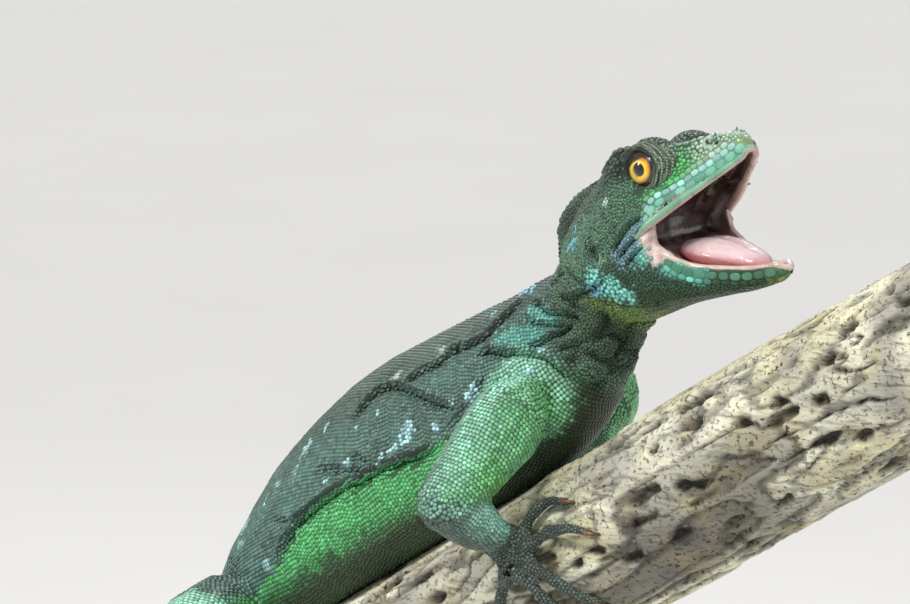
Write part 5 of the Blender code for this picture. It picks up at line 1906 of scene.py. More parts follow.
@dataclass
class Coat:
    """Every scale on the skin, gathered first and made into joined meshes at the end."""

    surface: Surface
    nodes: list[str]
    bare_limit: float = 0.45  # how bare the skin may be under a low scale
    row_gap: float = 0.62  # how near two scales may come, as a share of both their radii
    granule_gap: float = 0.82
    varied: float = 0.22  # how much the scales differ in tone
    neighbours: int = 10  # how many scales round each one bound its outline
    growth: float = 1.3  # how far an outline may grow beyond its own size
    least_reach: float = 0.12
    least_turn: float = 0.12
    free_reach: float = 9.0
    crest_on_back: tuple = (94.0, -30.0, -1.25)  # s of its first and last scale, and the step
    crest_on_tail: tuple = (18.0, 150.0, 1.9)
    finish: ScaleFinish = field(default_factory=ScaleFinish)
    groups: list[Scales] = field(default_factory=list)
    room: Room = field(default_factory=Room)
    draw: np.random.Generator = field(default_factory=lambda: np.random.default_rng(SEED))

    def number(self, *names: str) -> list[int]:
        """Numbers of the named nodes."""
        return [self.nodes.index(name) for name in names]

    def add(
        self, shape: Shape, centres: Array, normals: Array, backward: Array, sizes: Array, triangle: Array,
        tint: Optional[Array] = None, settled: bool = False,
    ) -> None:
        """Adds scales at places on the skin.

        Args:
            shape: their form.
            centres: where they stand.
            normals: which way they stand out.
            backward: which way they point.
            sizes: length, width and height of each.
            triangle: the skin's triangle under each.
            tint: their colours, or None for the skin's own.
            settled: whether they have their room already.
        """
        corner = self.surface.triangles[triangle][:, 0]
        keep = (self.surface.bare[corner] < self.bare_limit) | (shape not in FITTED)
        normals = unit(normals)
        backward = unit(backward - (backward * normals).sum(axis=1, keepdims=True) * normals)
        colour = self.surface.tint[corner] if tint is None else tint
        varied = 1.0 + self.varied * self.draw.standard_normal(len(centres))
        colour = colour * np.clip(varied, 0.5, 1.7)[:, None]
        self.lay(shape, centres, normals, backward, sizes, colour, self.surface.owners[corner], keep, settled)

    def lay(
        self, shape: Shape, centres: Array, normals: Array, backward: Array, sizes: Array, colour: Array, owners: Array,
        keep: Array, settled: bool = False,
    ) -> None:
        """Lays those scales of a group that are kept and find room."""
        length, width, height = sizes.T
        reach = FORMS[shape].oval(length, width)
        made = Scales(shape, centres, normals, backward, length, width, height, colour, owners, reach).kept(keep)
        spots, radii = self.sites(made)[:2]
        if shape not in FITTED:
            self.room.settle(spots, radii, 0.0)
        elif not settled:
            made = made.kept(self.room.settle(spots, radii, self.row_gap))
        self.groups.append(made)

    @staticmethod
    def sites(scales: Scales) -> tuple[Array, Array, Array]:
        """The round places that scales take up, their radii and the scale each belongs to."""
        number = np.arange(len(scales))
        if scales.shape in FITTED:
            return scales.centres, 0.25 * (scales.length + scales.width), number
        shifts = (-0.3, 0.0, 0.3)
        spots = [scales.centres + (shift * scales.length)[:, None] * scales.backward for shift in shifts]
        return np.vstack(spots), np.tile(0.5 * scales.width, 3), np.tile(number, 3)

    def ring(self, centre: Array, ahead: Array, up: Array, reach: float, members: set, rays: int) -> Optional[tuple]:
        """The skin's section round one point of a middle line.

        Args:
            centre: the point inside the body.
            ahead: direction of the middle line there.
            up: a direction that starts the round.
            reach: how far the skin may be.
            members: numbers of the nodes that count.
            rays: how many places round it.

        Returns:
            Places, triangles and which of them count, or None where nearly none does.
        """
        side = unit(np.cross(ahead, up))
        rise = np.cross(side, ahead)
        turns = np.linspace(0.0, 2.0 * math.pi, rays, endpoint=False)
        places = np.empty((rays, 3))
        triangles = np.zeros(rays, int)
        good = np.zeros(rays, bool)
        for k, turn in enumerate(turns):
            outward = math.sin(turn) * side + math.cos(turn) * rise
            met = self.surface.drop(centre, outward, reach)
            if met is None:
                places[k] = centre + reach * outward
                continue
            places[k], triangles[k] = met
            good[k] = self.surface.owners[self.surface.triangles[met[1]][0]] in members
        return (places, triangles, good) if good.sum() > 2 else None

    def rows(
        self, line: Array, names: Sequence[str], reach: Sequence[float], size: Place, up: Array, rays: int
    ) -> None:
        """Rows of scales across a length of the body, each row set half a scale round from the last.

        Args:
            line: the middle line.
            names: nodes that the rows may lie on.
            reach: how far the skin may be, at even steps of the line.
            size: from row to row, then the width and height of one scale.
            up: a direction that starts each round.
            rays: places looked for round the body.
        """
        pitch, width, height = size
        stations = spaced(line, pitch)
        reach = np.interp(np.linspace(0, 1, len(stations)), np.linspace(0, 1, len(reach)), reach)
        heading = unit(np.gradient(stations, axis=0))
        members = set(self.number(*names))
        normals = self.surface.normals
        rows = []
        for i, (centre, ahead, far) in enumerate(zip(stations, heading, reach)):
            section = self.ring(centre, ahead, up, far, members, rays)
            if section is None:
                continue
            places, triangles, good = section
            loop = np.vstack([places, places[:1]])
            girth = reach_along(loop)
            count = max(int(round(girth[-1] / width)), 5)
            at = (np.arange(count) + 0.5 * (i % 2)) * girth[-1] / count
            k = np.clip(np.searchsorted(girth, at, side="right") - 1, 0, rays - 1)
            t = ((at - girth[k]) / np.maximum(girth[k + 1] - girth[k], 1e-6))[:, None]
            after = (k + 1) % rays
            keep = good[k] & good[after] & (girth[k + 1] - girth[k] < 4.0 * girth[-1] / rays)
            spot = (1 - t) * loop[k] + t * loop[k + 1]
            facing = (1 - t) * normals[self.surface.triangles[triangles[k]][:, 0]]
            facing = facing + t * normals[self.surface.triangles[triangles[after]][:, 0]]
            sizes = np.tile([pitch * 1.04, girth[-1] / count * 1.02, height], (count, 1))
            table = (spot, facing, np.tile(ahead, (count, 1)), sizes, triangles[k])
            rows.append([column[keep] for column in table])
        if rows:
            spot, facing, ahead, sizes, triangle = (np.concatenate(column) for column in zip(*rows))
            jitter = 1.0 + 0.06 * self.draw.standard_normal((len(sizes), 3))
            self.add(Shape.SHIELD, spot, facing, ahead, sizes * jitter, triangle)

    def grain_size(self, points: Array, owners: Array) -> Array:
        """Breadth of the granules that belong at each place."""
        names = np.array(self.nodes)[owners]
        flat = folded(points)
        back, out, up = Model.head.place(flat)
        from_ear = np.linalg.norm(np.column_stack([back, -out, up]) - Model.head.ear, axis=1)
        jaw_up = Model.head.place_in_jaw(flat)[2]
        head, jaw = names == "head", names == "lower_jaw"
        size = np.full(len(points), 0.72)
        for where, breadth in (
            (head, 0.56),
            (head & (up > 6.5), 0.62),
            (head & (back < 12.0), 0.66),
            (head & (up > 9.5) & (back > 12.0) & (back < 27.0), 0.8),
            (head & (from_ear < 4.5), 0.48),
            (head & (from_ear < 2.0), 0.36),
            (jaw, 0.62),
            (jaw & (jaw_up < -7.0), 0.54),
            (names == "neck", 0.58),
            (to_line(flat, np.array(FAN))[0] < 3.0, 0.86),
            (np.char.startswith(names, "hand") | np.char.startswith(names, "foot"), 0.6),
        ):
            size[where] = breadth
        return size

    def granules(self, tries: int = 520000) -> None:
        """Fills all that the rows leave with small round scales, as close as they go."""
        surface = self.surface
        a, b, c = (surface.points[surface.triangles[:, k]] for k in range(3))
        area = 0.5 * np.linalg.norm(np.cross(b - a, c - a), axis=1)
        area = area * (surface.bare[surface.triangles[:, 0]] < self.bare_limit)
        chance = area * (1.0 / self.grain_size(a, surface.owners[surface.triangles[:, 0]]) ** 2)
        triangle = self.draw.choice(len(area), tries, p=chance / chance.sum())
        u, v = self.draw.random(tries), self.draw.random(tries)
        over = u + v > 1.0
        u[over], v[over] = 1.0 - u[over], 1.0 - v[over]
        spots = a[triangle] + u[:, None] * (b - a)[triangle] + v[:, None] * (c - a)[triangle]
        sizes = self.grain_size(spots, surface.owners[surface.triangles[triangle][:, 0]])
        sizes = sizes * self.draw.uniform(0.86, 1.12, tries)
        keep = self.room.settle(spots, 0.5 * sizes, self.granule_gap)
        triangle, spots, sizes = triangle[keep], spots[keep], sizes[keep]
        facing = surface.normals[surface.triangles[triangle][:, 0]]
        spin = self.draw.uniform(-0.5, 0.5, (len(keep), 3))
        table = np.column_stack([sizes * 1.03, sizes, sizes * 0.25])
        self.add(Shape.BEAD, spots, facing, self.flow(spots) + spin, table, triangle, settled=True)

    @staticmethod
    def flow(points: Array) -> Array:
        """Which way the granules point: back along the head, then down the body."""
        back = Model.head.place(points)[0]
        share = ramp(30.0, 45.0, back)[:, None]
        return -(1.0 - share) * Model.head.along - share * Model.perch.along

    def fit(self) -> None:
        """Gives every low scale the outline that its neighbours leave it."""
        spots, radii, facing = [], [], []
        for group in self.groups:
            places, sizes, number = self.sites(group)
            spots.append(places)
            radii.append(sizes)
            facing.append(group.normals[number])
        spots, radii, facing = (np.concatenate(rows) for rows in (spots, radii, facing))
        tree = KDTree(len(spots))
        for i, place in enumerate(spots.tolist()):
            tree.insert(place, i)
        tree.balance()
        for group in self.groups:
            if group.shape not in FITTED or not len(group):
                continue
            beside = [tree.find_n(place, self.neighbours + 1)[1:] for place in group.centres.tolist()]
            found = np.array([[number for _, number, _ in places] for places in beside])
            turns = FORMS[group.shape].turns
            across = np.cross(group.normals, group.backward)
            offset = spots[found] - group.centres[:, None]
            a = (offset * group.backward[:, None]).sum(axis=2)
            b = (offset * across[:, None]).sum(axis=2)
            far = np.maximum(np.hypot(a, b), 1e-3)
            own = 0.25 * (group.length + group.width)
            line = (far**2 + (own**2)[:, None] - radii[found] ** 2) / (2.0 * far)
            line = np.maximum(line, 0.2 * far)
            line[(facing[found] * group.normals[:, None]).sum(axis=2) < 0.1] = self.free_reach
            heading = np.cos(turns[None, None] - np.arctan2(b, a)[..., None])
            edge = line[..., None] / np.maximum(heading, self.least_turn)
            edge = np.where(heading > self.least_turn, edge, self.free_reach).min(axis=1)
            most = self.growth * FORMS[group.shape].oval(group.length, group.width)
            group.reach = np.clip(edge, self.least_reach, most)

    def plates(self, row: "PlateRow", sides: Sequence[int]) -> None:
        """Lays a row of plates on these sides of the animal, 1 for left and -1 for right."""
        for side in sides:
            route = smooth_path(row.line() * np.array([1.0, -side, 1.0]), 2 * row.count + 1)
            middle, ahead = route[1::2], unit(np.gradient(route, axis=0))[1::2]
            found = [self.settled_on(place, row) for place in middle]
            spot = np.array([place for place, _ in found])
            triangle = np.array([index for _, index in found])
            facing = normals_mean(self.surface, triangle)
            sizes = np.outer(np.linspace(1.0, row.taper, row.count), row.sizes)
            sizes = sizes * self.draw.uniform(0.94, 1.05, (row.count, 3))
            colour = None if row.tint is None else np.tile(paint(*row.tint), (row.count, 1))
            self.add(Shape.PLATE, spot, facing, ahead, sizes, triangle, colour)

    def settled_on(self, place: Array, row: "PlateRow") -> tuple[Array, int]:
        """Where a plate lies: met from outside the head, or the nearest skin for the rows on top."""
        if row.from_outside:
            ahead = 1.3 * float(ramp(5.0, 0.0, Model.head.place(place[None])[0][0]))
            outward = unit(ahead * Model.head.along + np.sign(place[1]) * LEFT)
            met = self.surface.drop(place + 3.0 * outward, -outward, 5.0)
            if met is not None:
                return met
        spot, _, index, _ = self.surface.tree.find_nearest(Vector(place))
        return np.array(spot), index

    def crest(self) -> None:
        """The low saw of pointed scales from the nape along the back and the tail."""
        starts = Model.perch.on(np.arange(*self.crest_on_back), 60.0)
        self.spikes([self.surface.drop(start, -Model.perch.above, 60.0) for start in starts], 0.55, 0.8)
        line, heading, reach = Model.tail.line()
        at = np.searchsorted(reach, np.arange(*self.crest_on_tail))
        side = unit(np.cross(heading[at], UP))
        rise = np.cross(side, heading[at])
        self.spikes([self.surface.drop(line[i] + 12.0 * up, -up, 12.0) for i, up in zip(at, rise)], 0.7, 0.5)

    def spikes(self, met: list, height: float, taper: float) -> None:
        """Pointed scales in a row that goes backward, wherever the skin was met."""
        places, triangle = (np.array(column) for column in zip(*filter(None, met)))
        ahead = unit(np.gradient(places, axis=0))
        facing = normals_mean(self.surface, triangle)
        share = np.linspace(1.0, taper, len(places))[:, None]
        pale = 1.5 * self.surface.tint[self.surface.triangles[triangle][:, 0]]
        table = share * np.array([1.45, 0.95, height]) * self.draw.uniform(0.85, 1.12, (len(places), 3))
        self.add(Shape.SPIKE, places, facing, ahead, table, triangle, pale)

    def unwrap(self, scales: Scales) -> Array:
        """Each scale's root on an unwrap of the skin: along and round the part of the body it is on."""
        spread = np.zeros((len(scales), 2))
        present = np.unique(scales.owners)
        for strip, owner in enumerate(present):
            mine = scales.owners == owner
            cloud = scales.centres[mine]
            offset = cloud - cloud.mean(axis=0)
            axes = np.linalg.svd(offset, full_matrices=False)[2] if len(cloud) > 3 else np.eye(3)
            along = offset @ axes[0]
            turn = np.arctan2(offset @ axes[1], offset @ axes[2]) / (2.0 * math.pi) + 0.5
            span = max(np.ptp(along), 1e-6)
            spread[mine, 0] = (along - along.min()) / span
            spread[mine, 1] = (strip + 0.01 + 0.98 * turn) / len(present)
        return 0.005 + 0.99 * spread

    def piece(self, name: str, scales: Scales, slot: str) -> bpy.types.Object:
        """One joined mesh of scales.

        Args:
            name: the piece's name.
            scales: what it holds.
            slot: a material slot's name; not used.

        Returns:
            The piece.
        """
        form = FORMS[scales.shape]
        across = np.cross(scales.normals, scales.backward)
        local = form.corners(scales.reach)
        points = (
            scales.centres[:, None]
            + local[..., :1] * scales.backward[:, None]
            + local[..., 1:2] * across[:, None]
            + local[..., 2:] * scales.height[:, None, None] * scales.normals[:, None]
        )
        count, corners = len(scales), local.shape[1]
        faces = (form.faces()[None] + (np.arange(count) * corners)[:, None, None]).reshape(-1, 3)
        made = new_piece(name, points.reshape(-1, 3), faces)
        set_tint(made, (scales.tint[:, None] * form.light()[:, None]).reshape(-1, 3))
        root = self.unwrap(scales)
        patch = 0.5 * PATCH * local[..., :2] / scales.reach.max(axis=1)[:, None, None]
        placed = (root[:, None] + patch).reshape(-1, 2)
        layer = made.data.uv_layers.new(name="OFBake")
        layer.data.foreach_set("uv", np.clip(placed[faces.ravel()], 0.0, 1.0).astype(np.float32).ravel())
        made.data.materials.append(self.finish.material())
        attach(made, "root")
        log.info("%s: %d scales, %d triangles", name, count, len(faces))
        return made

    def build(self, parts: dict[str, tuple]) -> list[bpy.types.Object]:
        """Joins the scales into pieces, by form and part of the body.

        Args:
            parts: for each piece, the nodes it covers and its material slot.

        Returns:
            The pieces.
        """
        self.fit()
        made = []
        for shape in Shape:
            table = Scales.joined(shape, [group for group in self.groups if group.shape is shape])
            for part, (names, slot) in parts.items():
                mine = table.kept(np.isin(table.owners, self.number(*names)))
                name = f"{part}_{shape.value}s"
                if len(mine) * len(FORMS[shape].faces()) > MOST_IN_PIECE:
                    made.append(self.piece(name + "_right", mine.kept(mine.centres[:, 1] < 0.0), slot))
                    made.append(self.piece(name + "_left", mine.kept(mine.centres[:, 1] >= 0.0), slot))
                elif len(mine):
                    made.append(self.piece(name, mine, slot))
        return made


def normals_mean(surface: Surface, triangle: Array) -> Array:
    """Outward directions over the skin's triangles."""
    return unit(surface.normals[surface.triangles[triangle]].sum(axis=1))


@dataclass(frozen=True)
class PlateRow:
    """One row of plates on the head or the jaw."""

    course: tuple  # back, out, up
    count: int
    sizes: Place
    tint: Optional[tuple] = None
    taper: float = 1.0
    in_jaw: bool = False
    crosswise: bool = False
    from_outside: bool = True

    def line(self) -> Array:
        """The row's course in the working frame."""
        back, out, up = np.array(self.course).T
        place = Model.head.in_jaw if self.in_jaw else Model.head.at
        return place(back, -out, up)


PLATE_ROWS = (
    # brow
    PlateRow(((4.5, 3.6, 6.2), (8, 4.9, 7.0), (13, 7.6, 9.8), (16, 8.3, 11.3), (19, 8.7, 12.4), (22, 8.4, 12.1),
              (25.5, 7.3, 11.3)), 17, (1.3, 0.95, 0.3), from_outside=False),
    # middle of the crown
    PlateRow(((25, 0, 12.1), (30, 0, 12.8), (35, 0, 13.3), (40, 0, 13.2), (44, 0, 12.2), (47, 0, 10.0)),
             20, (1.3, 0.9, 0.2), crosswise=True, from_outside=False),
)


@dataclass(frozen=True)
class Lips:
    """Rows of plates that follow the edges of the lips."""

    upper: tuple = (
        # height over the edge, then length, width and thickness, and colour
        (1.14, (2.1, 1.5, 0.11), (108, 170, 146)),
        (2.40, (1.6, 1.15, 0.13), (146, 196, 186)),
        (3.40, (1.3, 1.0, 0.13), None),
    )
    lower: tuple = (
        (1.30, (2.0, 1.45, 0.10), (70, 122, 94)),
        (2.46, (1.5, 1.05, 0.12), None),
    )
    last: float = 19.0
    radius: float = 0.62
    sides: int = 12
    upper_colours: tuple = ((120, 170, 140), (206, 176, 166))  # outer, inner
    lower_colours: tuple = ((206, 186, 170), (228, 200, 194))

    @staticmethod
    def plan(in_jaw: bool) -> tuple:
        """The table of a lip's edge, and the frame that it is in."""
        head = Model.head
        return (head.rim, head.in_jaw) if in_jaw else (head.lip, head.at)

    @staticmethod
    def away(points: Array, in_jaw: bool) -> Array:
        """Distance of right-side points from the edge of one lip."""
        return to_line(points, Lips.path(in_jaw)[::4])[0]

    @staticmethod
    def nearest(points: Array) -> Array:
        """Distance of right-side points from the edge of the nearer lip."""
        return np.minimum(Lips.away(points, False), Lips.away(points, True))

    @staticmethod
    def path(in_jaw: bool) -> Array:
        """The edge of the right half of a lip, from the middle of the front to the corner."""
        table, place = Lips.plan(in_jaw)
        backs = np.concatenate([[table[0][0] + 0.1], np.arange(0.4, 21.6, 0.4)])
        out, up = guide(table, backs)[:, :2].T
        front = np.array([[table[0][0] - 0.1, 0.0, up[0]]])
        lift = -0.42 if in_jaw else 0.42
        rows = np.vstack([front, np.column_stack([backs, -out + 0.42, up])])
        return place(rows[:, 0] + 0.3, rows[:, 1], rows[:, 2] + lift)

    def band(self, in_jaw: bool) -> bpy.types.Object:
        """One smooth band along the whole edge of a lip."""
        right = smooth_path(self.path(in_jaw), 90)
        line = np.vstack([right[::-1], right[1:] * MIRROR])
        share = np.abs(np.linspace(-1.0, 1.0, len(line)))
        radii = self.radius * (0.55 + 0.45 * ramp(1.0, 0.86, share)) * (1.0 + 0.05 * noise(line, 1.8, 91))
        if not in_jaw:
            radii = radii * (1.0 + 0.35 * ramp(0.40, 0.60, share))
        points, faces = swept(line, radii, self.sides, Model.head.above)
        made = new_piece("lip_lower" if in_jaw else "lip_upper", points, faces)
        outward(made)
        middle = np.vstack([np.repeat(line, self.sides, axis=0), line[[0, -1]]])
        out = np.abs(points[:, 1]) - np.abs(middle[:, 1])
        if not in_jaw:
            out = out + 0.8 * (points - middle) @ Model.head.above
        outer, inner = (paint(*colour) for colour in (self.lower_colours if in_jaw else self.upper_colours))
        colour = laid_over(inner, outer, ramp(-0.15, 0.25, out))
        set_tint(made, colour * (1.0 + 0.12 * noise(points, 1.1, 92))[:, None])
        set_wet(made, np.full(len(points), 0.9 if in_jaw else 0.4))
        made.data.materials.append(HideFinish().material())
        made.data.shade_smooth()
        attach(made, "root")
        return made

    def edge(self, surface: Surface, side: int, in_jaw: bool) -> Array:
        """The lip's edge as the skin has it: back, out and up at even steps."""
        table, place = self.plan(in_jaw)
        backs, found = np.arange(-0.6, self.last, 0.5), []
        for back in backs:
            out, up = guide(table, np.array([back]))[0][:2]
            outward = unit(1.6 * float(ramp(3.5, -0.5, np.array(back))) * Model.head.along + side * LEFT)
            found.append(up)
            for rise in np.arange(-1.4, 2.4, 0.1):
                level = up - rise if in_jaw else up + rise
                point = place(*np.array([back, side * out, level]))
                if surface.drop(point + 3.0 * outward, -outward, 4.4) is not None:
                    found[-1] = level
                    break
        found = np.array(found)
        for _ in range(3):
            found[1:-1] = 0.5 * found[1:-1] + 0.25 * (found[2:] + found[:-2])
        return np.column_stack([backs, side * guide(table, backs)[:, 0], found])

    def lay(self, coat: Coat) -> None:
        """Lays the rows on both lips and both sides."""
        for in_jaw, rows in ((False, self.upper), (True, self.lower)):
            for side in (-1, 1):
                edge = self.edge(coat.surface, side, in_jaw)
                for height, sizes, tint in rows:
                    shift = np.array([0.0, 0.0, -height if in_jaw else height])
                    short = edge[max(int(2.0 * (height - 1.3)), 0) :] + shift
                    count = int(reach_along(short)[-1] / (0.96 * sizes[0]))
                    course = tuple(map(tuple, short * (1, -side, 1)))
                    coat.plates(PlateRow(course, count, sizes, tint, 0.9, in_jaw), (side,))


LIMB_ROWS = {
    # for the upper length, then the lower one: how far the skin may be, scale sizes, places looked for
    Limb.ARM: (((9.5, 9.5, 9.5), (0.74, 0.84, 0.15), 64), ((8.0, 6.6, 5.4), (0.68, 0.76, 0.14), 48)),
    Limb.LEG: (((12.0, 12.0, 12.0), (0.92, 1.0, 0.2), 56), ((8.0, 6.6, 5.4), (0.9, 0.95, 0.2), 40)),
}
TRUNK = (
    # s, h and how far the skin may be
    (84.0, 18.0, 26.0), (60.0, 16.0, 26.0), (38.0, 15.5, 24.0),
    (12.0, 14.0, 22.0), (-8.0, 10.5, 20.0), (-24.0, 6.5, 13.0),
)
TAIL_ROWS = ((6, 60, 0.85), (60, 230, 1.1), (230, 411, 1.1))  # from, to, from row to row


def limb_rows(coat: Coat) -> None:
    """Rows of scales round the arms, legs, fingers and toes."""
    for plan in LIMBS:
        for side, suffix in SIDES:
            upper, lower = plan.paths(side)
            first, second, third = (f"{name}_{suffix}" for name in plan.names)
            begin, root = (len(upper) // 4, "chest") if plan.kind is Limb.ARM else (0, "pelvis")
            (reach, size, rays), (low_reach, low_size, low_rays) = LIMB_ROWS[plan.kind]
            coat.rows(upper[begin:], (first, root), reach, size, LEFT, rays)
            coat.rows(lower[:14], (second, first), low_reach, low_size, LEFT, low_rays)
            for route in plan.routes:
                path, radii = plan.digit(route, side)
                coat.rows(path, (third,), radii * 1.5 + 0.3, (0.62, 0.66, 0.13), Model.perch.above, 18)


def dressed_coat(surface: Surface, nodes: list[str], lids: "Lids") -> Coat:
    """Lays every scale: plates, lids and crest first, then rows, then granules in what is left.

    Args:
        surface: the finished skin.
        nodes: names of the flesh nodes, in the order of the skin's numbers.
        lids: the lids of both eyes.

    Returns:
        The coat, ready to be built.
    """
    coat = Coat(surface, nodes)
    Lips().lay(coat)
    for row in PLATE_ROWS:
        coat.plates(row, (1,) if row.crosswise else (1, -1))
    for side, _ in SIDES:
        lids.granules(coat, side)
    coat.crest()
    limb_rows(coat)
    s, h, far = np.array(TRUNK).T
    coat.rows(Model.perch.on(s, h), BODY, far, (0.74, 0.8, 0.16), Model.perch.above, 96)
    line, _, reach = Model.tail.line()
    sizes = guide(Model.tail.sizes, reach)[:, 0]
    for low, high, pitch in TAIL_ROWS:
        part = (reach >= low) & (reach <= high)
        coat.rows(line[part], TAILS, sizes[part] * 1.25 + 0.3, (pitch, 1.0, 0.18), LEFT, 36)
    coat.granules()
    return coat


# Eyes and lids


@dataclass
class Eyes:
    """Both eyeballs: golden iris, round dark pupil and a clear bulging front."""

    iris: float = 2.4
    pupil: float = 1.14
    aside: float = 0.42
    bulge: float = 0.22
    turns: int = 128  # corners in a ring
    iris_rings: int = 62
    white_rings: int = 14
    widest: float = 4.36  # half the breadth of the part that is made
    finish: EyeFinish = field(default_factory=EyeFinish)

    def colours(self, across: Array, turn: Array) -> Array:
        """Colour at each distance across the iris and turn round it, with the upper lid's shadow painted over its top.
        """
        gold, amber, umber = paint(250, 208, 48), paint(214, 140, 20), paint(96, 50, 12)
        black, margin = paint(6, 5, 4), paint(34, 26, 18)
        height = across * np.sin(turn)
        pupil = across * np.hypot(np.cos(turn) / 0.93, np.sin(turn) / 1.08)
        across = np.hypot((across * np.cos(turn) + self.aside) / 1.04, across * np.sin(turn) / 0.94)
        ring = np.column_stack([np.cos(turn) * 8.0, np.sin(turn) * 8.0, across * 0.9])
        fibre, patch = noise(ring, 1.0, 31), noise(ring, 4.0, 32)
        share = (across - self.pupil) / (self.iris - self.pupil)
        colour = np.tile(gold, (len(across), 1))
        colour = laid_over(colour, amber, ramp(0.42, 0.92, share + 0.18 * fibre + 0.12 * patch))
        colour = laid_over(colour, umber, ramp(0.80, 1.0, share) * 0.8)
        top = ramp(0.35, 0.9, np.sin(turn)) * ramp(0.30, 0.75, share + 0.25 * patch) * 0.6
        colour = laid_over(colour, umber, top) * (1.0 + 0.2 * fibre)[:, None]
        colour = laid_over(colour, umber, ramp(0.16, 0.0, share) * 0.6)
        colour = laid_over(colour, margin, ramp(self.iris - 0.06, self.iris + 0.12, across))
        # painted shadow of the upper lid over the top of the iris
        colour = laid_over(colour, margin, ramp(1.35, 1.85, height))
        return laid_over(colour, black, ramp(self.pupil + 0.06, self.pupil - 0.06, pupil))

    def build(self, side: int, suffix: str) -> bpy.types.Object:
        """Makes one eye."""
        aim, front, over = Model.head.eye_axes(side)
        inner = np.linspace(0.0, self.iris + 0.3, self.iris_rings)[1:]
        across = np.concatenate([inner, np.linspace(self.iris + 0.5, self.widest, self.white_rings)])
        turns = np.linspace(0.0, 2.0 * math.pi, self.turns, endpoint=False)
        height = np.sqrt(Model.head.eye_radius**2 - across**2) + self.bulge * ramp(3.2, 0.0, across)
        radial = np.cos(turns)[:, None] * front + np.sin(turns)[:, None] * over
        rings = across[:, None, None] * radial[None] + height[:, None, None] * aim
        back = -3.0 * aim
        tip = (Model.head.eye_radius + self.bulge) * aim
        points = np.vstack([rings.reshape(-1, 3), tip, back]) + Model.head.eye(side)
        count = len(turns)
        faces = [half for a, b, c, d in strip(len(across), count) for half in ((a, b, c), (a, c, d))]
        top, bottom, last = len(points) - 2, len(points) - 1, (len(across) - 1) * count
        for k in range(count):
            faces += [(top, k, (k + 1) % count), (bottom, last + (k + 1) % count, last + k)]
        faces = np.array(faces)
        made = new_piece(f"eyeball_{suffix}", points, faces if side > 0 else faces[:, ::-1])
        outward(made)
        spread = np.concatenate([np.repeat(across, count), [0.0, 4.0]])
        turn = np.concatenate([np.tile(turns, len(across)), [0.0, 0.0]])
        set_tint(made, self.colours(spread, turn))
        made.data.materials.append(self.finish.material())
        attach(made, "root")
        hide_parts(f"eye_{suffix}")
        return made


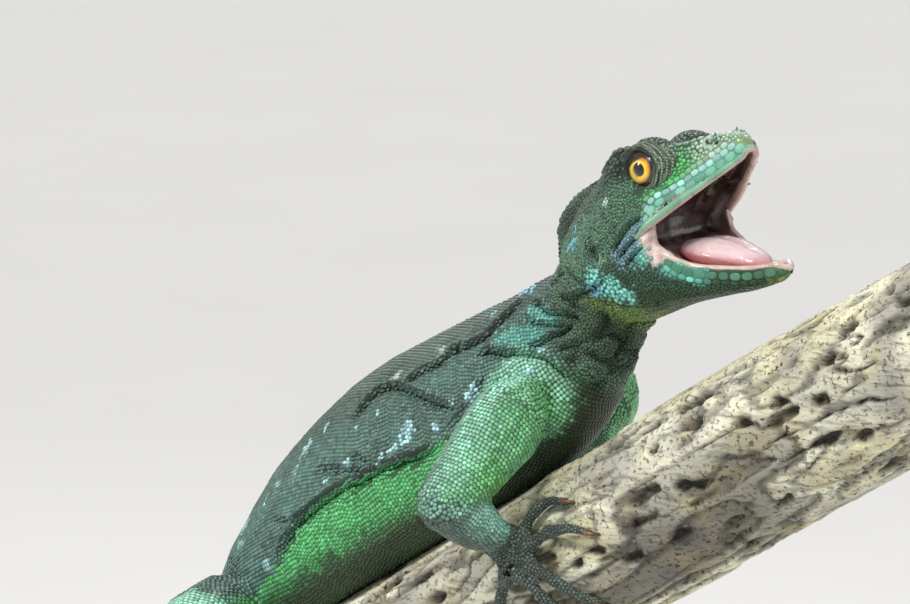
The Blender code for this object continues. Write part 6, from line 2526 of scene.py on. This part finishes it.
@dataclass
class Lids:
    """The ringed, granular lids round each eye."""

    opening: float = 44.0
    turns: int = 128  # corners in a ring
    fold_rings: int = 34
    granule_rings: int = 9
    granule_step: float = 0.52
    ring: float = 5.4
    tint: tuple = (122, 140, 118)
    # near black at the lids' edge, partly painted shadow
    edge: tuple = (20, 22, 20)
    # pale lower rim, partly a painted highlight
    rim: tuple = (176, 178, 150)
    grain: Place = (0.50, 0.42, 0.19)
    turned_in: tuple = ((4.36, 0.8), (4.5, -0.4), (4.68, -0.3))  # radius, and degrees beyond the lids' edge
    margin: list[float] = field(default_factory=lambda: [5.0])

    @staticmethod
    def angles(offset: Array, side: int) -> tuple[Array, Array]:
        """Degrees from the eye's aim, and the turn round it from the front corner, of places about the eye."""
        aim, front, over = Model.head.eye_axes(side)
        turn = np.degrees(np.arccos(np.clip(unit(offset) @ aim, -1.0, 1.0)))
        return turn, np.arctan2(offset @ over, offset @ front)

    @staticmethod
    def outer(phi: Array) -> Array:
        """Degrees from the aim to the lids' outer margin."""
        return 74.0 + 2.0 * np.cos(phi) - 10.0 * np.sin(phi) + np.cos(2.0 * phi)

    def radius(self, turn: Array, phi: Array) -> Array:
        """Height of the lids over the eye's centre, which meets the skin round them."""
        start, outer = self.start(phi), self.outer(phi)
        inner = ramp(0.0, 7.0, turn - start)
        rings = 0.24 * self.wrinkle(turn, phi) * ramp(2.0, 7.0, turn - start)
        around = np.mod(phi, 2.0 * math.pi) / (2.0 * math.pi) * len(self.margin)
        margin = np.interp(around, np.arange(len(self.margin) + 1), [*self.margin, self.margin[0]])
        profile = 4.70 + 0.36 * inner + rings
        share = ramp(0.15, 0.95, (turn - start) / (outer - start))
        return profile + share * (margin - profile)

    def wrinkle(self, turn: Array, phi: Array) -> Array:
        """The wave of the lids' wrinkles, -1 in the furrows and 1 on the folds."""
        wave = (turn - self.start(phi)) / 7.6 + 0.3 * np.sin(3.0 * phi) + 0.16 * np.sin(7.0 * phi + 1.0)
        return np.cos(2.0 * math.pi * wave)

    def meet(self, surface: Surface, side: int) -> None:
        """Finds how far the skin is from the eye's centre round the lids' margin."""
        phi = np.linspace(0.0, 2.0 * math.pi, 48, endpoint=False)
        eye = Model.head.eye(side)
        ways = self.at(side, self.outer(phi), phi, np.ones(len(phi))) - eye
        met = [surface.drop(eye + 2.5 * way, way, 8.0) for way in ways]
        far = np.array([5.0 if m is None else np.linalg.norm(m[0] - eye) for m in met])
        far = np.clip(far, 4.6, LID_REACH)
        for _ in range(2):
            far = 0.5 * far + 0.25 * (np.roll(far, 1) + np.roll(far, -1))
        self.margin = far.tolist()

    def start(self, phi: Array) -> Array:
        """Degrees from the aim to the lids' edge, round the eye from its front corner."""
        front = np.cos(phi)
        start = self.opening + 3.0 * np.sin(phi) + 3.0 * np.abs(front) ** 6
        return start - 7.0 * front - 4.5 * np.maximum(front, 0.0)

    def at(self, side: int, turn: Array, phi: Array, radius: Array) -> Array:
        """The working point at degrees from the aim, phi round from the front corner, and a radius."""
        aim, front, over = Model.head.eye_axes(side)
        angle = np.radians(turn)[..., None]
        radial = np.cos(phi)[..., None] * front + np.sin(phi)[..., None] * over
        return Model.head.eye(side) + radius[..., None] * (np.cos(angle) * aim + np.sin(angle) * radial)

    def colours(self, turn: Array, phi: Array) -> Array:
        """Near black at the edge, partly its own dark and partly painted shadow that is widest under the upper lid; a
        thin pale rim below, partly a painted highlight; painted shade in the wrinkles' furrows; then grey-green that
        lightens outward.
        """
        start = self.start(phi)
        # the dark edge reaches further out on top: painted shadow under the upper lid
        tone = ramp(1.5, 9.0 + 4.0 * np.sin(phi), turn - start)
        wave = noise(np.column_stack([turn / 4.0, 3.0 * np.cos(phi), 3.0 * np.sin(phi)]), 1.0, 71)
        colour = laid_over(paint(*self.edge), paint(*self.tint) * (1.0 + 0.25 * wave)[:, None], tone)
        # painted shade in the furrows between the lids' wrinkles
        furrow = ramp(0.1, -0.9, self.wrinkle(turn, phi)) * ramp(3.0, 7.0, turn - start)
        colour = colour * (1.0 - 0.72 * furrow)[:, None]
        # the pale rim on the lower side: partly its own colour, partly a painted highlight
        rim = np.exp(-(((turn - start - 1.2) / 1.3) ** 2)) * ramp(0.1, 0.7, -np.sin(phi))
        return laid_over(colour, paint(*self.rim), 0.75 * rim)

    def build(self, surface: Surface, side: int, suffix: str) -> bpy.types.Object:
        """Makes the lids of one eye as a closed ring."""
        self.meet(surface, side)
        phi = np.linspace(0.0, 2.0 * math.pi, self.turns, endpoint=False)
        start, outer = self.start(phi), self.outer(phi)
        across = [start + step * (outer - start) for step in np.linspace(0.0, 1.0, self.fold_rings)]
        rings = [(start + shift, np.full(len(phi), radius)) for radius, shift in self.turned_in]
        rings += [(turn, self.radius(turn, phi)) for turn in across]
        rings += [(outer + 2.0, self.radius(outer, phi) - 0.7), (outer - 6.0, np.full(len(phi), 3.7))]
        points = np.vstack([self.at(side, turn, phi, radius) for turn, radius in rings])
        made = new_piece(f"eyelids_{suffix}", points, strip(len(rings), len(phi), closed=True))
        outward(made)
        turns = np.concatenate([turn for turn, _ in rings])
        set_tint(made, 0.62 * self.colours(turns, np.tile(phi, len(rings))))
        set_wet(made, np.zeros(len(points)))
        made.data.materials.append(HideFinish().material())
        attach(made, "root")
        return made

    def granules(self, coat: Coat, side: int) -> None:
        """Rings of fine granules on one eye's lids."""
        owner = coat.number("head")[0]
        eye = Model.head.eye(side)
        self.meet(coat.surface, side)
        for row in range(self.granule_rings):
            away = 3.2 + self.ring * row * 0.82
            girth = 2.0 * math.pi * 5.3 * math.sin(math.radians(self.opening + away))
            count = int(girth / self.granule_step)
            phi = (np.arange(count) + 0.5 * (row % 2)) * 2.0 * math.pi / count
            turn = self.start(phi) + away
            keep = turn < self.outer(phi) - 1.0
            if not keep.any():
                continue
            phi, turn = phi[keep], turn[keep]
            spots = self.at(side, turn, phi, self.radius(turn, phi) - 0.03)
            facing = spots - eye
            around = unit(np.cross(facing, Model.head.aim(side)))
            sizes = np.array(self.grain) * coat.draw.uniform(0.85, 1.1, (len(phi), 3))
            tone = self.colours(turn, phi) * coat.draw.uniform(0.85, 1.35, (len(phi), 1))
            owners, keep = np.full(len(phi), owner), np.ones(len(phi), bool)
            coat.lay(Shape.BEAD, spots, unit(facing), around, sizes, tone, owners, keep)


# Tongue, claws, branch, stand and studio


@dataclass
class Tongue:
    """The thick wet tongue on the floor of the mouth."""

    voxel: float = 0.28
    rounds: int = 24
    pale: tuple = (228, 202, 204)
    deep: tuple = (196, 124, 128)
    finish: TongueFinish = field(default_factory=TongueFinish)

    def build(self) -> bpy.types.Object:
        """Makes the tongue from its solid."""
        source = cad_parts["tongue"]
        made = bpy.data.objects.new("tongue_flesh", source.data.copy())
        bpy.context.scene.collection.objects.link(made)
        worked(made, bpy.ops.mesh.remove_doubles, threshold=1e-6)
        apply_modifier(made, "REMESH", mode="VOXEL", voxel_size=self.voxel * MM, use_smooth_shade=True)
        points, triangles, edges = corners_of(made), triangles_of(made), edges_of(made)
        points = relaxed(points, edges, np.ones(len(points)), self.rounds)
        normals = normals_of(points, triangles)
        back, out, up = Model.head.place_in_jaw(points)
        top = ramp(0.2, 0.8, normals[:, 2])
        groove = np.exp(-((out / 0.7) ** 2)) * ramp(4.5, 9.0, back)
        lumps = 0.16 * noise(points, 2.6, 41) + 0.05 * noise(points, 0.8, 42)
        points = points + (top * (lumps - 0.4 * groove))[:, None] * normals
        move_corners(made, points)
        share = np.clip(ramp(1.2, -0.8, up) + 0.35 * groove * top + 0.3 * ramp(14.0, 21.0, back), 0.0, 1.0)
        set_tint(made, laid_over(paint(*self.pale), paint(*self.deep), share))
        made.data.materials.clear()
        made.data.materials.append(self.finish.material())
        made.data.shade_smooth()
        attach(made, "root")
        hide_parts("tongue")
        return made


@dataclass
class Claws:
    """A curved claw on the end of every digit."""

    length: float = 3.5
    root: float = 0.5
    drop: float = 2.4
    rings: int = 12
    sides: int = 10
    base: tuple = (116, 74, 44)
    tip: tuple = (34, 24, 18)
    finish: ClawFinish = field(default_factory=ClawFinish)

    def one(self, path: Array, radius: float) -> tuple[Array, list]:
        """Corners and faces of one claw."""
        perch = Model.perch
        end, ahead = path[-1], unit(path[-1] - path[-3])
        s = perch.place(end[None])[0][0]
        outward_here = unit(end - perch.on(s, -perch.radius))
        t = np.linspace(0.0, 1.0, self.rings)[:, None]
        start = end - 0.9 * ahead
        arch = 0.75 * np.sin(math.pi * np.clip(t * 1.15, 0.0, 1.0)) - self.drop * t**2.2
        route = start + (self.length + 0.6) * t * ahead + arch * outward_here
        thick = self.root * radius * (1.0 - t[:, 0]) ** 0.75 + 0.07
        return swept(route, thick, self.sides, outward_here, flat=1.25)

    def build(self, plan: LimbPlan, side: int, suffix: str) -> bpy.types.Object:
        """Makes the claws of one hand or foot as one piece."""
        points, faces = [], []
        for route in plan.routes:
            path, radii = plan.digit(route, side)
            corners, rows = self.one(path, radii[-1] * 1.35)
            start = sum(len(part) for part in points)
            faces += [[corner + start for corner in row] for row in rows]
            points.append(corners)
        made = new_piece(f"claws_{plan.names[2]}_{suffix}", np.vstack(points), faces)
        outward(made)
        share = np.concatenate([np.repeat(np.linspace(0.0, 1.0, self.rings), self.sides), [0.0, 1.0]])
        share = ramp(0.1, 0.85, np.tile(share, len(points)))
        set_tint(made, laid_over(paint(*self.base), paint(*self.tip), share))
        made.data.materials.append(self.finish.material())
        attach(made, "root")
        return made


@dataclass
class Branch:
    """The perch: weathered bark in long plates, with cracks, pits and sawn ends."""

    step: float = 0.62
    sides: int = 220
    end_rings: tuple = (0.985, 0.93, 0.85, 0.76, 0.66, 0.56, 0.46, 0.36, 0.26, 0.16, 0.07)
    wood: tuple = (176, 150, 108)
    sunlit: Place = (1.27, 1.33, 1.38)  # how much lighter the bark is in red, green and blue

    def relief(self, s: Array, phi: Array) -> tuple[Array, Array, Array]:
        """Height of the bark, how deep in a crack each place is, and a draw for its plate."""
        ring = np.column_stack([s, 15.0 * np.cos(phi), 15.0 * np.sin(phi)])
        below = ramp(60.0, 105.0, np.abs(np.degrees(np.arctan2(np.sin(phi), np.cos(phi)))))
        layer = 2.6 * rough(ring, (34.0, 9.0, 9.0), 51) + 0.5 * rough(ring, (7.0, 2.6, 2.6), 52)
        step = np.floor(layer)
        edge = ramp(0.72, 0.98, layer - step)
        peel = 0.55 * (step + edge)
        lip = ramp(0.62, 0.76, layer - step) * ramp(0.98, 0.84, layer - step)
        fibre = 1.0 - np.abs(rough(ring, (17.0, 2.2, 2.2), 53))
        near, draw = cells(np.column_stack([s / 9.0 + 0.4 * noise(ring, 5.0, 54), phi * 15.0 / 4.2]), 55)
        often = 0.62 - 0.5 * below
        pit = ramp(0.34, 0.14, near + 0.12 * noise(ring, 1.3, 56)) * (draw > often)
        split = ramp(0.055, 0.0, np.abs(rough(ring, (26.0, 4.6, 4.6), 57))) * ramp(-0.1, 0.3, noise(ring, 16.0, 58))
        lumps = noise(ring, (11.0, 6.0, 6.0), 59) + 0.5 * below * noise(ring, (5.0, 3.4, 3.4), 60)
        height = peel + 0.26 * fibre + 0.35 * lumps - 0.9 * split - 1.3 * pit - 0.5 * below - 0.35 * lip
        return height, np.clip(split + pit + 0.6 * lip, 0.0, 1.0), np.clip(0.5 * step, -1.0, 1.0)

    def contact(self, points: Array, surface: Surface) -> Array:
        """How near each place is to the animal, where the bark has to stay flat."""
        share = np.zeros(len(points))
        for i, point in enumerate(points):
            gap = surface.tree.find_nearest(Vector(point), 4.5)[3]
            if gap is not None:
                share[i] = 1.0 - float(ramp(1.2, 4.2, np.array(gap)))
        return share

    def build(self, surface: Surface) -> bpy.types.Object:
        """Makes the branch."""
        perch = Model.perch
        stations = np.arange(perch.rear, perch.front + 0.01, self.step)
        turns = np.linspace(0.0, 2.0 * math.pi, self.sides, endpoint=False)
        s, phi = (grid.ravel() for grid in np.meshgrid(stations, turns, indexing="ij"))
        height, crack, draw = self.relief(s, phi)
        smooth = perch.round(s, np.degrees(phi))
        touch = self.contact(smooth, surface)
        rim = ramp(0.0, 1.6, np.minimum(s - perch.rear, perch.front - s))
        lift = np.clip(height, -2.4, 0.9) * (1.0 - touch) - 0.15 * touch - 0.7 * (1.0 - rim)
        points = perch.round(s, np.degrees(phi), lift)
        colour = self.colours(points, height, crack, draw)
        rows = len(stations)
        faces = strip(rows, self.sides)
        ends, end_colours = [], []
        for row, s_end in ((0, perch.rear), (rows - 1, perch.front)):
            ring = points[row * self.sides : (row + 1) * self.sides]
            middle = perch.on(s_end, -perch.radius)
            previous = np.arange(self.sides) + row * self.sides
            for share in self.end_rings:
                grain = 0.12 * perch.along * noise(ring, 2.0, int(100 * share))[:, None]
                inner = middle + share * (ring - middle) + grain
                start = len(points) + sum(len(part) for part in ends)
                ends.append(inner)
                tone = 0.75 + 0.25 * math.cos(80.0 * share)
                end_colours.append(np.tile(paint(*self.wood) * tone, (self.sides, 1)))
                number = np.arange(self.sides) + start
                faces += np.column_stack([previous, np.roll(previous, -1), np.roll(number, -1), number]).tolist()
                previous = number
            faces.append(previous.tolist())
        made = new_piece("branch_bark", np.vstack([points] + ends), faces)
        outward(made)
        set_tint(made, np.vstack([colour] + end_colours))
        made.data.materials.append(BarkFinish(turn=perch.pitch).material())
        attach(made, "root")
        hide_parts("perch_branch")
        return made

    def colours(self, points: Array, height: Array, crack: Array, draw: Array) -> Array:
        """Cream plates with ochre and grey; the low places, the cracks and the pits are darkened as painted shade."""
        cream, ochre, grey = paint(206, 200, 176), paint(184, 170, 112), paint(128, 122, 110)
        dark, purple = paint(30, 26, 20), paint(104, 98, 102)
        colour = np.tile(cream, (len(points), 1))
        for other, share in (
            (ochre, ramp(-0.2, 0.9, draw) * 0.5),
            (grey, ramp(0.0, -0.9, draw) * 0.7),
            (purple, ramp(0.1, 0.7, noise(points, 11.0, 61)) * 0.6),
            (ochre, ramp(0.1, 0.6, rough(points, 6.0, 63)) * 0.4),
            # painted shade: darker where the bark lies lower
            (grey * 0.4, ramp(0.0, -1.2, height) * 0.7),
            # painted shade: the cracks and pits near black
            (dark, crack * 0.95),
        ):
            colour = laid_over(colour, other, share)
        return colour * np.array(self.sunlit) * (1.0 + 0.2 * rough(points, 3.0, 62))[:, None]


@dataclass
class Stand:
    """The plain stand: the solids stay, with their own finishes."""

    def build(self) -> None:
        """Dresses the base and both rods."""
        for name, material in (
            ("stand_base", PaintFinish().material()),
            ("stand_rod_front", SteelFinish().material()),
            ("stand_rod_rear", SteelFinish().material()),
        ):
            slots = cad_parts[name].data.materials
            slots.clear()
            slots.append(material)


@dataclass
class Studio:
    """Floor, lights and the camera at the photograph's viewing angle."""

    camera_place: Place = (0.7394, -0.7954, 0.5511)
    target: Place = (0.008, 0.0, 0.345)
    lens: float = 243.69
    floor_radius: float = 9.0
    sun_place: Place = (0.25, -0.62, 1.0)
    sun_strength: float = 2.5
    sun_breadth: float = math.radians(13.0)
    sun_colour: Place = (1.0, 0.985, 0.96)
    lamps: tuple = (
        # name, place, size, power and colour
        ("catch", (-0.52, -0.80, 0.80), 0.16, 3.0, (1.0, 1.0, 1.0)),
        ("fill", (0.9, 0.3, 0.5), 0.8, 2.5, (0.95, 0.98, 1.0)),
        ("rim", (-0.6, 0.5, 1.0), 0.5, 5.0, (1.0, 1.0, 1.0)),
    )
    sky: Place = (0.92, 0.95, 1.0)
    sky_strength: float = 0.42

    def floor(self) -> bpy.types.Object:
        """A wide pale floor."""
        bare_selection()
        middle, radius = (0.0, 0.0, 0.0), self.floor_radius
        bpy.ops.mesh.primitive_circle_add(vertices=96, radius=radius, fill_type="NGON", location=middle)
        made = bpy.context.object
        made.name = made.data.name = "studio_floor"
        made.data.materials.append(FloorFinish().material())
        return made

    @staticmethod
    def aimed(name: str, data: bpy.types.ID, place: Place, target: Place) -> bpy.types.Object:
        """A camera or light at a place, turned to look at a target."""
        made = bpy.data.objects.new(name, data)
        made.location = place
        made.rotation_euler = (Vector(target) - Vector(place)).to_track_quat("-Z", "Y").to_euler()
        bpy.context.scene.collection.objects.link(made)
        return made

    def camera(self) -> None:
        """The camera, looking down a little on the animal's right."""
        data = bpy.data.cameras.new("studio_camera")
        data.lens, data.sensor_width, data.clip_end = self.lens, 36.0, 30.0
        bpy.context.scene.camera = self.aimed("studio_camera", data, self.camera_place, self.target)

    def light(self) -> None:
        """The even key light from one direction, and the square soft lights that look at the animal."""
        data = bpy.data.lights.new("key", "SUN")
        data.energy, data.angle, data.color = self.sun_strength, self.sun_breadth, self.sun_colour
        self.aimed("key", data, self.sun_place, (0.0, 0.0, 0.0))
        for name, place, size, power, colour in self.lamps:
            data = bpy.data.lights.new(name, "AREA")
            data.size, data.energy, data.color = size, power, colour
            self.aimed(name, data, place, self.target)

    def build(self) -> None:
        """Sets up the studio."""
        self.floor()
        self.camera()
        self.light()
        world = bpy.context.scene.world or bpy.data.worlds.new("studio")
        bpy.context.scene.world = world
        world.use_nodes = True
        shade = world.node_tree.nodes["Background"]
        shade.inputs[0].default_value = (*self.sky, 1.0)
        shade.inputs[1].default_value = self.sky_strength
        bpy.context.scene.view_settings.view_transform = "Standard"


COAT_PARTS = {
    "head": (("head",), "skin"),
    "jaw": (("lower_jaw", "neck"), "skin"),
    "chest": (("chest",), "skin"),
    "belly": (("belly",), "skin"),
    "pelvis": (("pelvis", "tail_1"), "skin"),
    "tail": (("tail_2", "tail_3", "tail_4"), "skin"),
    "arm": (("upper_arm_right", "upper_arm_left", "forearm_right", "forearm_left"), "skin"),
    "leg": (("thigh_right", "thigh_left", "shank_right", "shank_left"), "skin"),
    "hand": (("hand_right", "hand_left"), "digit_skin"),
    "foot": (("foot_right", "foot_left"), "digit_skin"),
}


def main() -> None:
    """Builds the whole scene in order."""
    logging.basicConfig(level=logging.INFO, format="%(message)s")
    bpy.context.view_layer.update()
    Studio().build()
    shell = Skin()
    skin, surface = shell.build()
    log.info("%s: %d triangles", skin.name, len(surface.triangles))
    lids = Lids()
    coat = dressed_coat(surface, shell.nodes(), lids)
    for side, suffix in SIDES:
        log.info("%s, %s", Eyes().build(side, suffix).name, lids.build(surface, side, suffix).name)
    for piece in coat.build(COAT_PARTS):
        log.info("%s laid", piece.name)
    log.info("%s, %s, %s", Tongue().build().name, Lips().band(False).name, Lips().band(True).name)
    for plan in LIMBS:
        for side, suffix in SIDES:
            log.info("%s", Claws().build(plan, side, suffix).name)
    log.info("%s", Branch().build(surface).name)
    Stand().build()


if __name__ == "__main__":
    main()
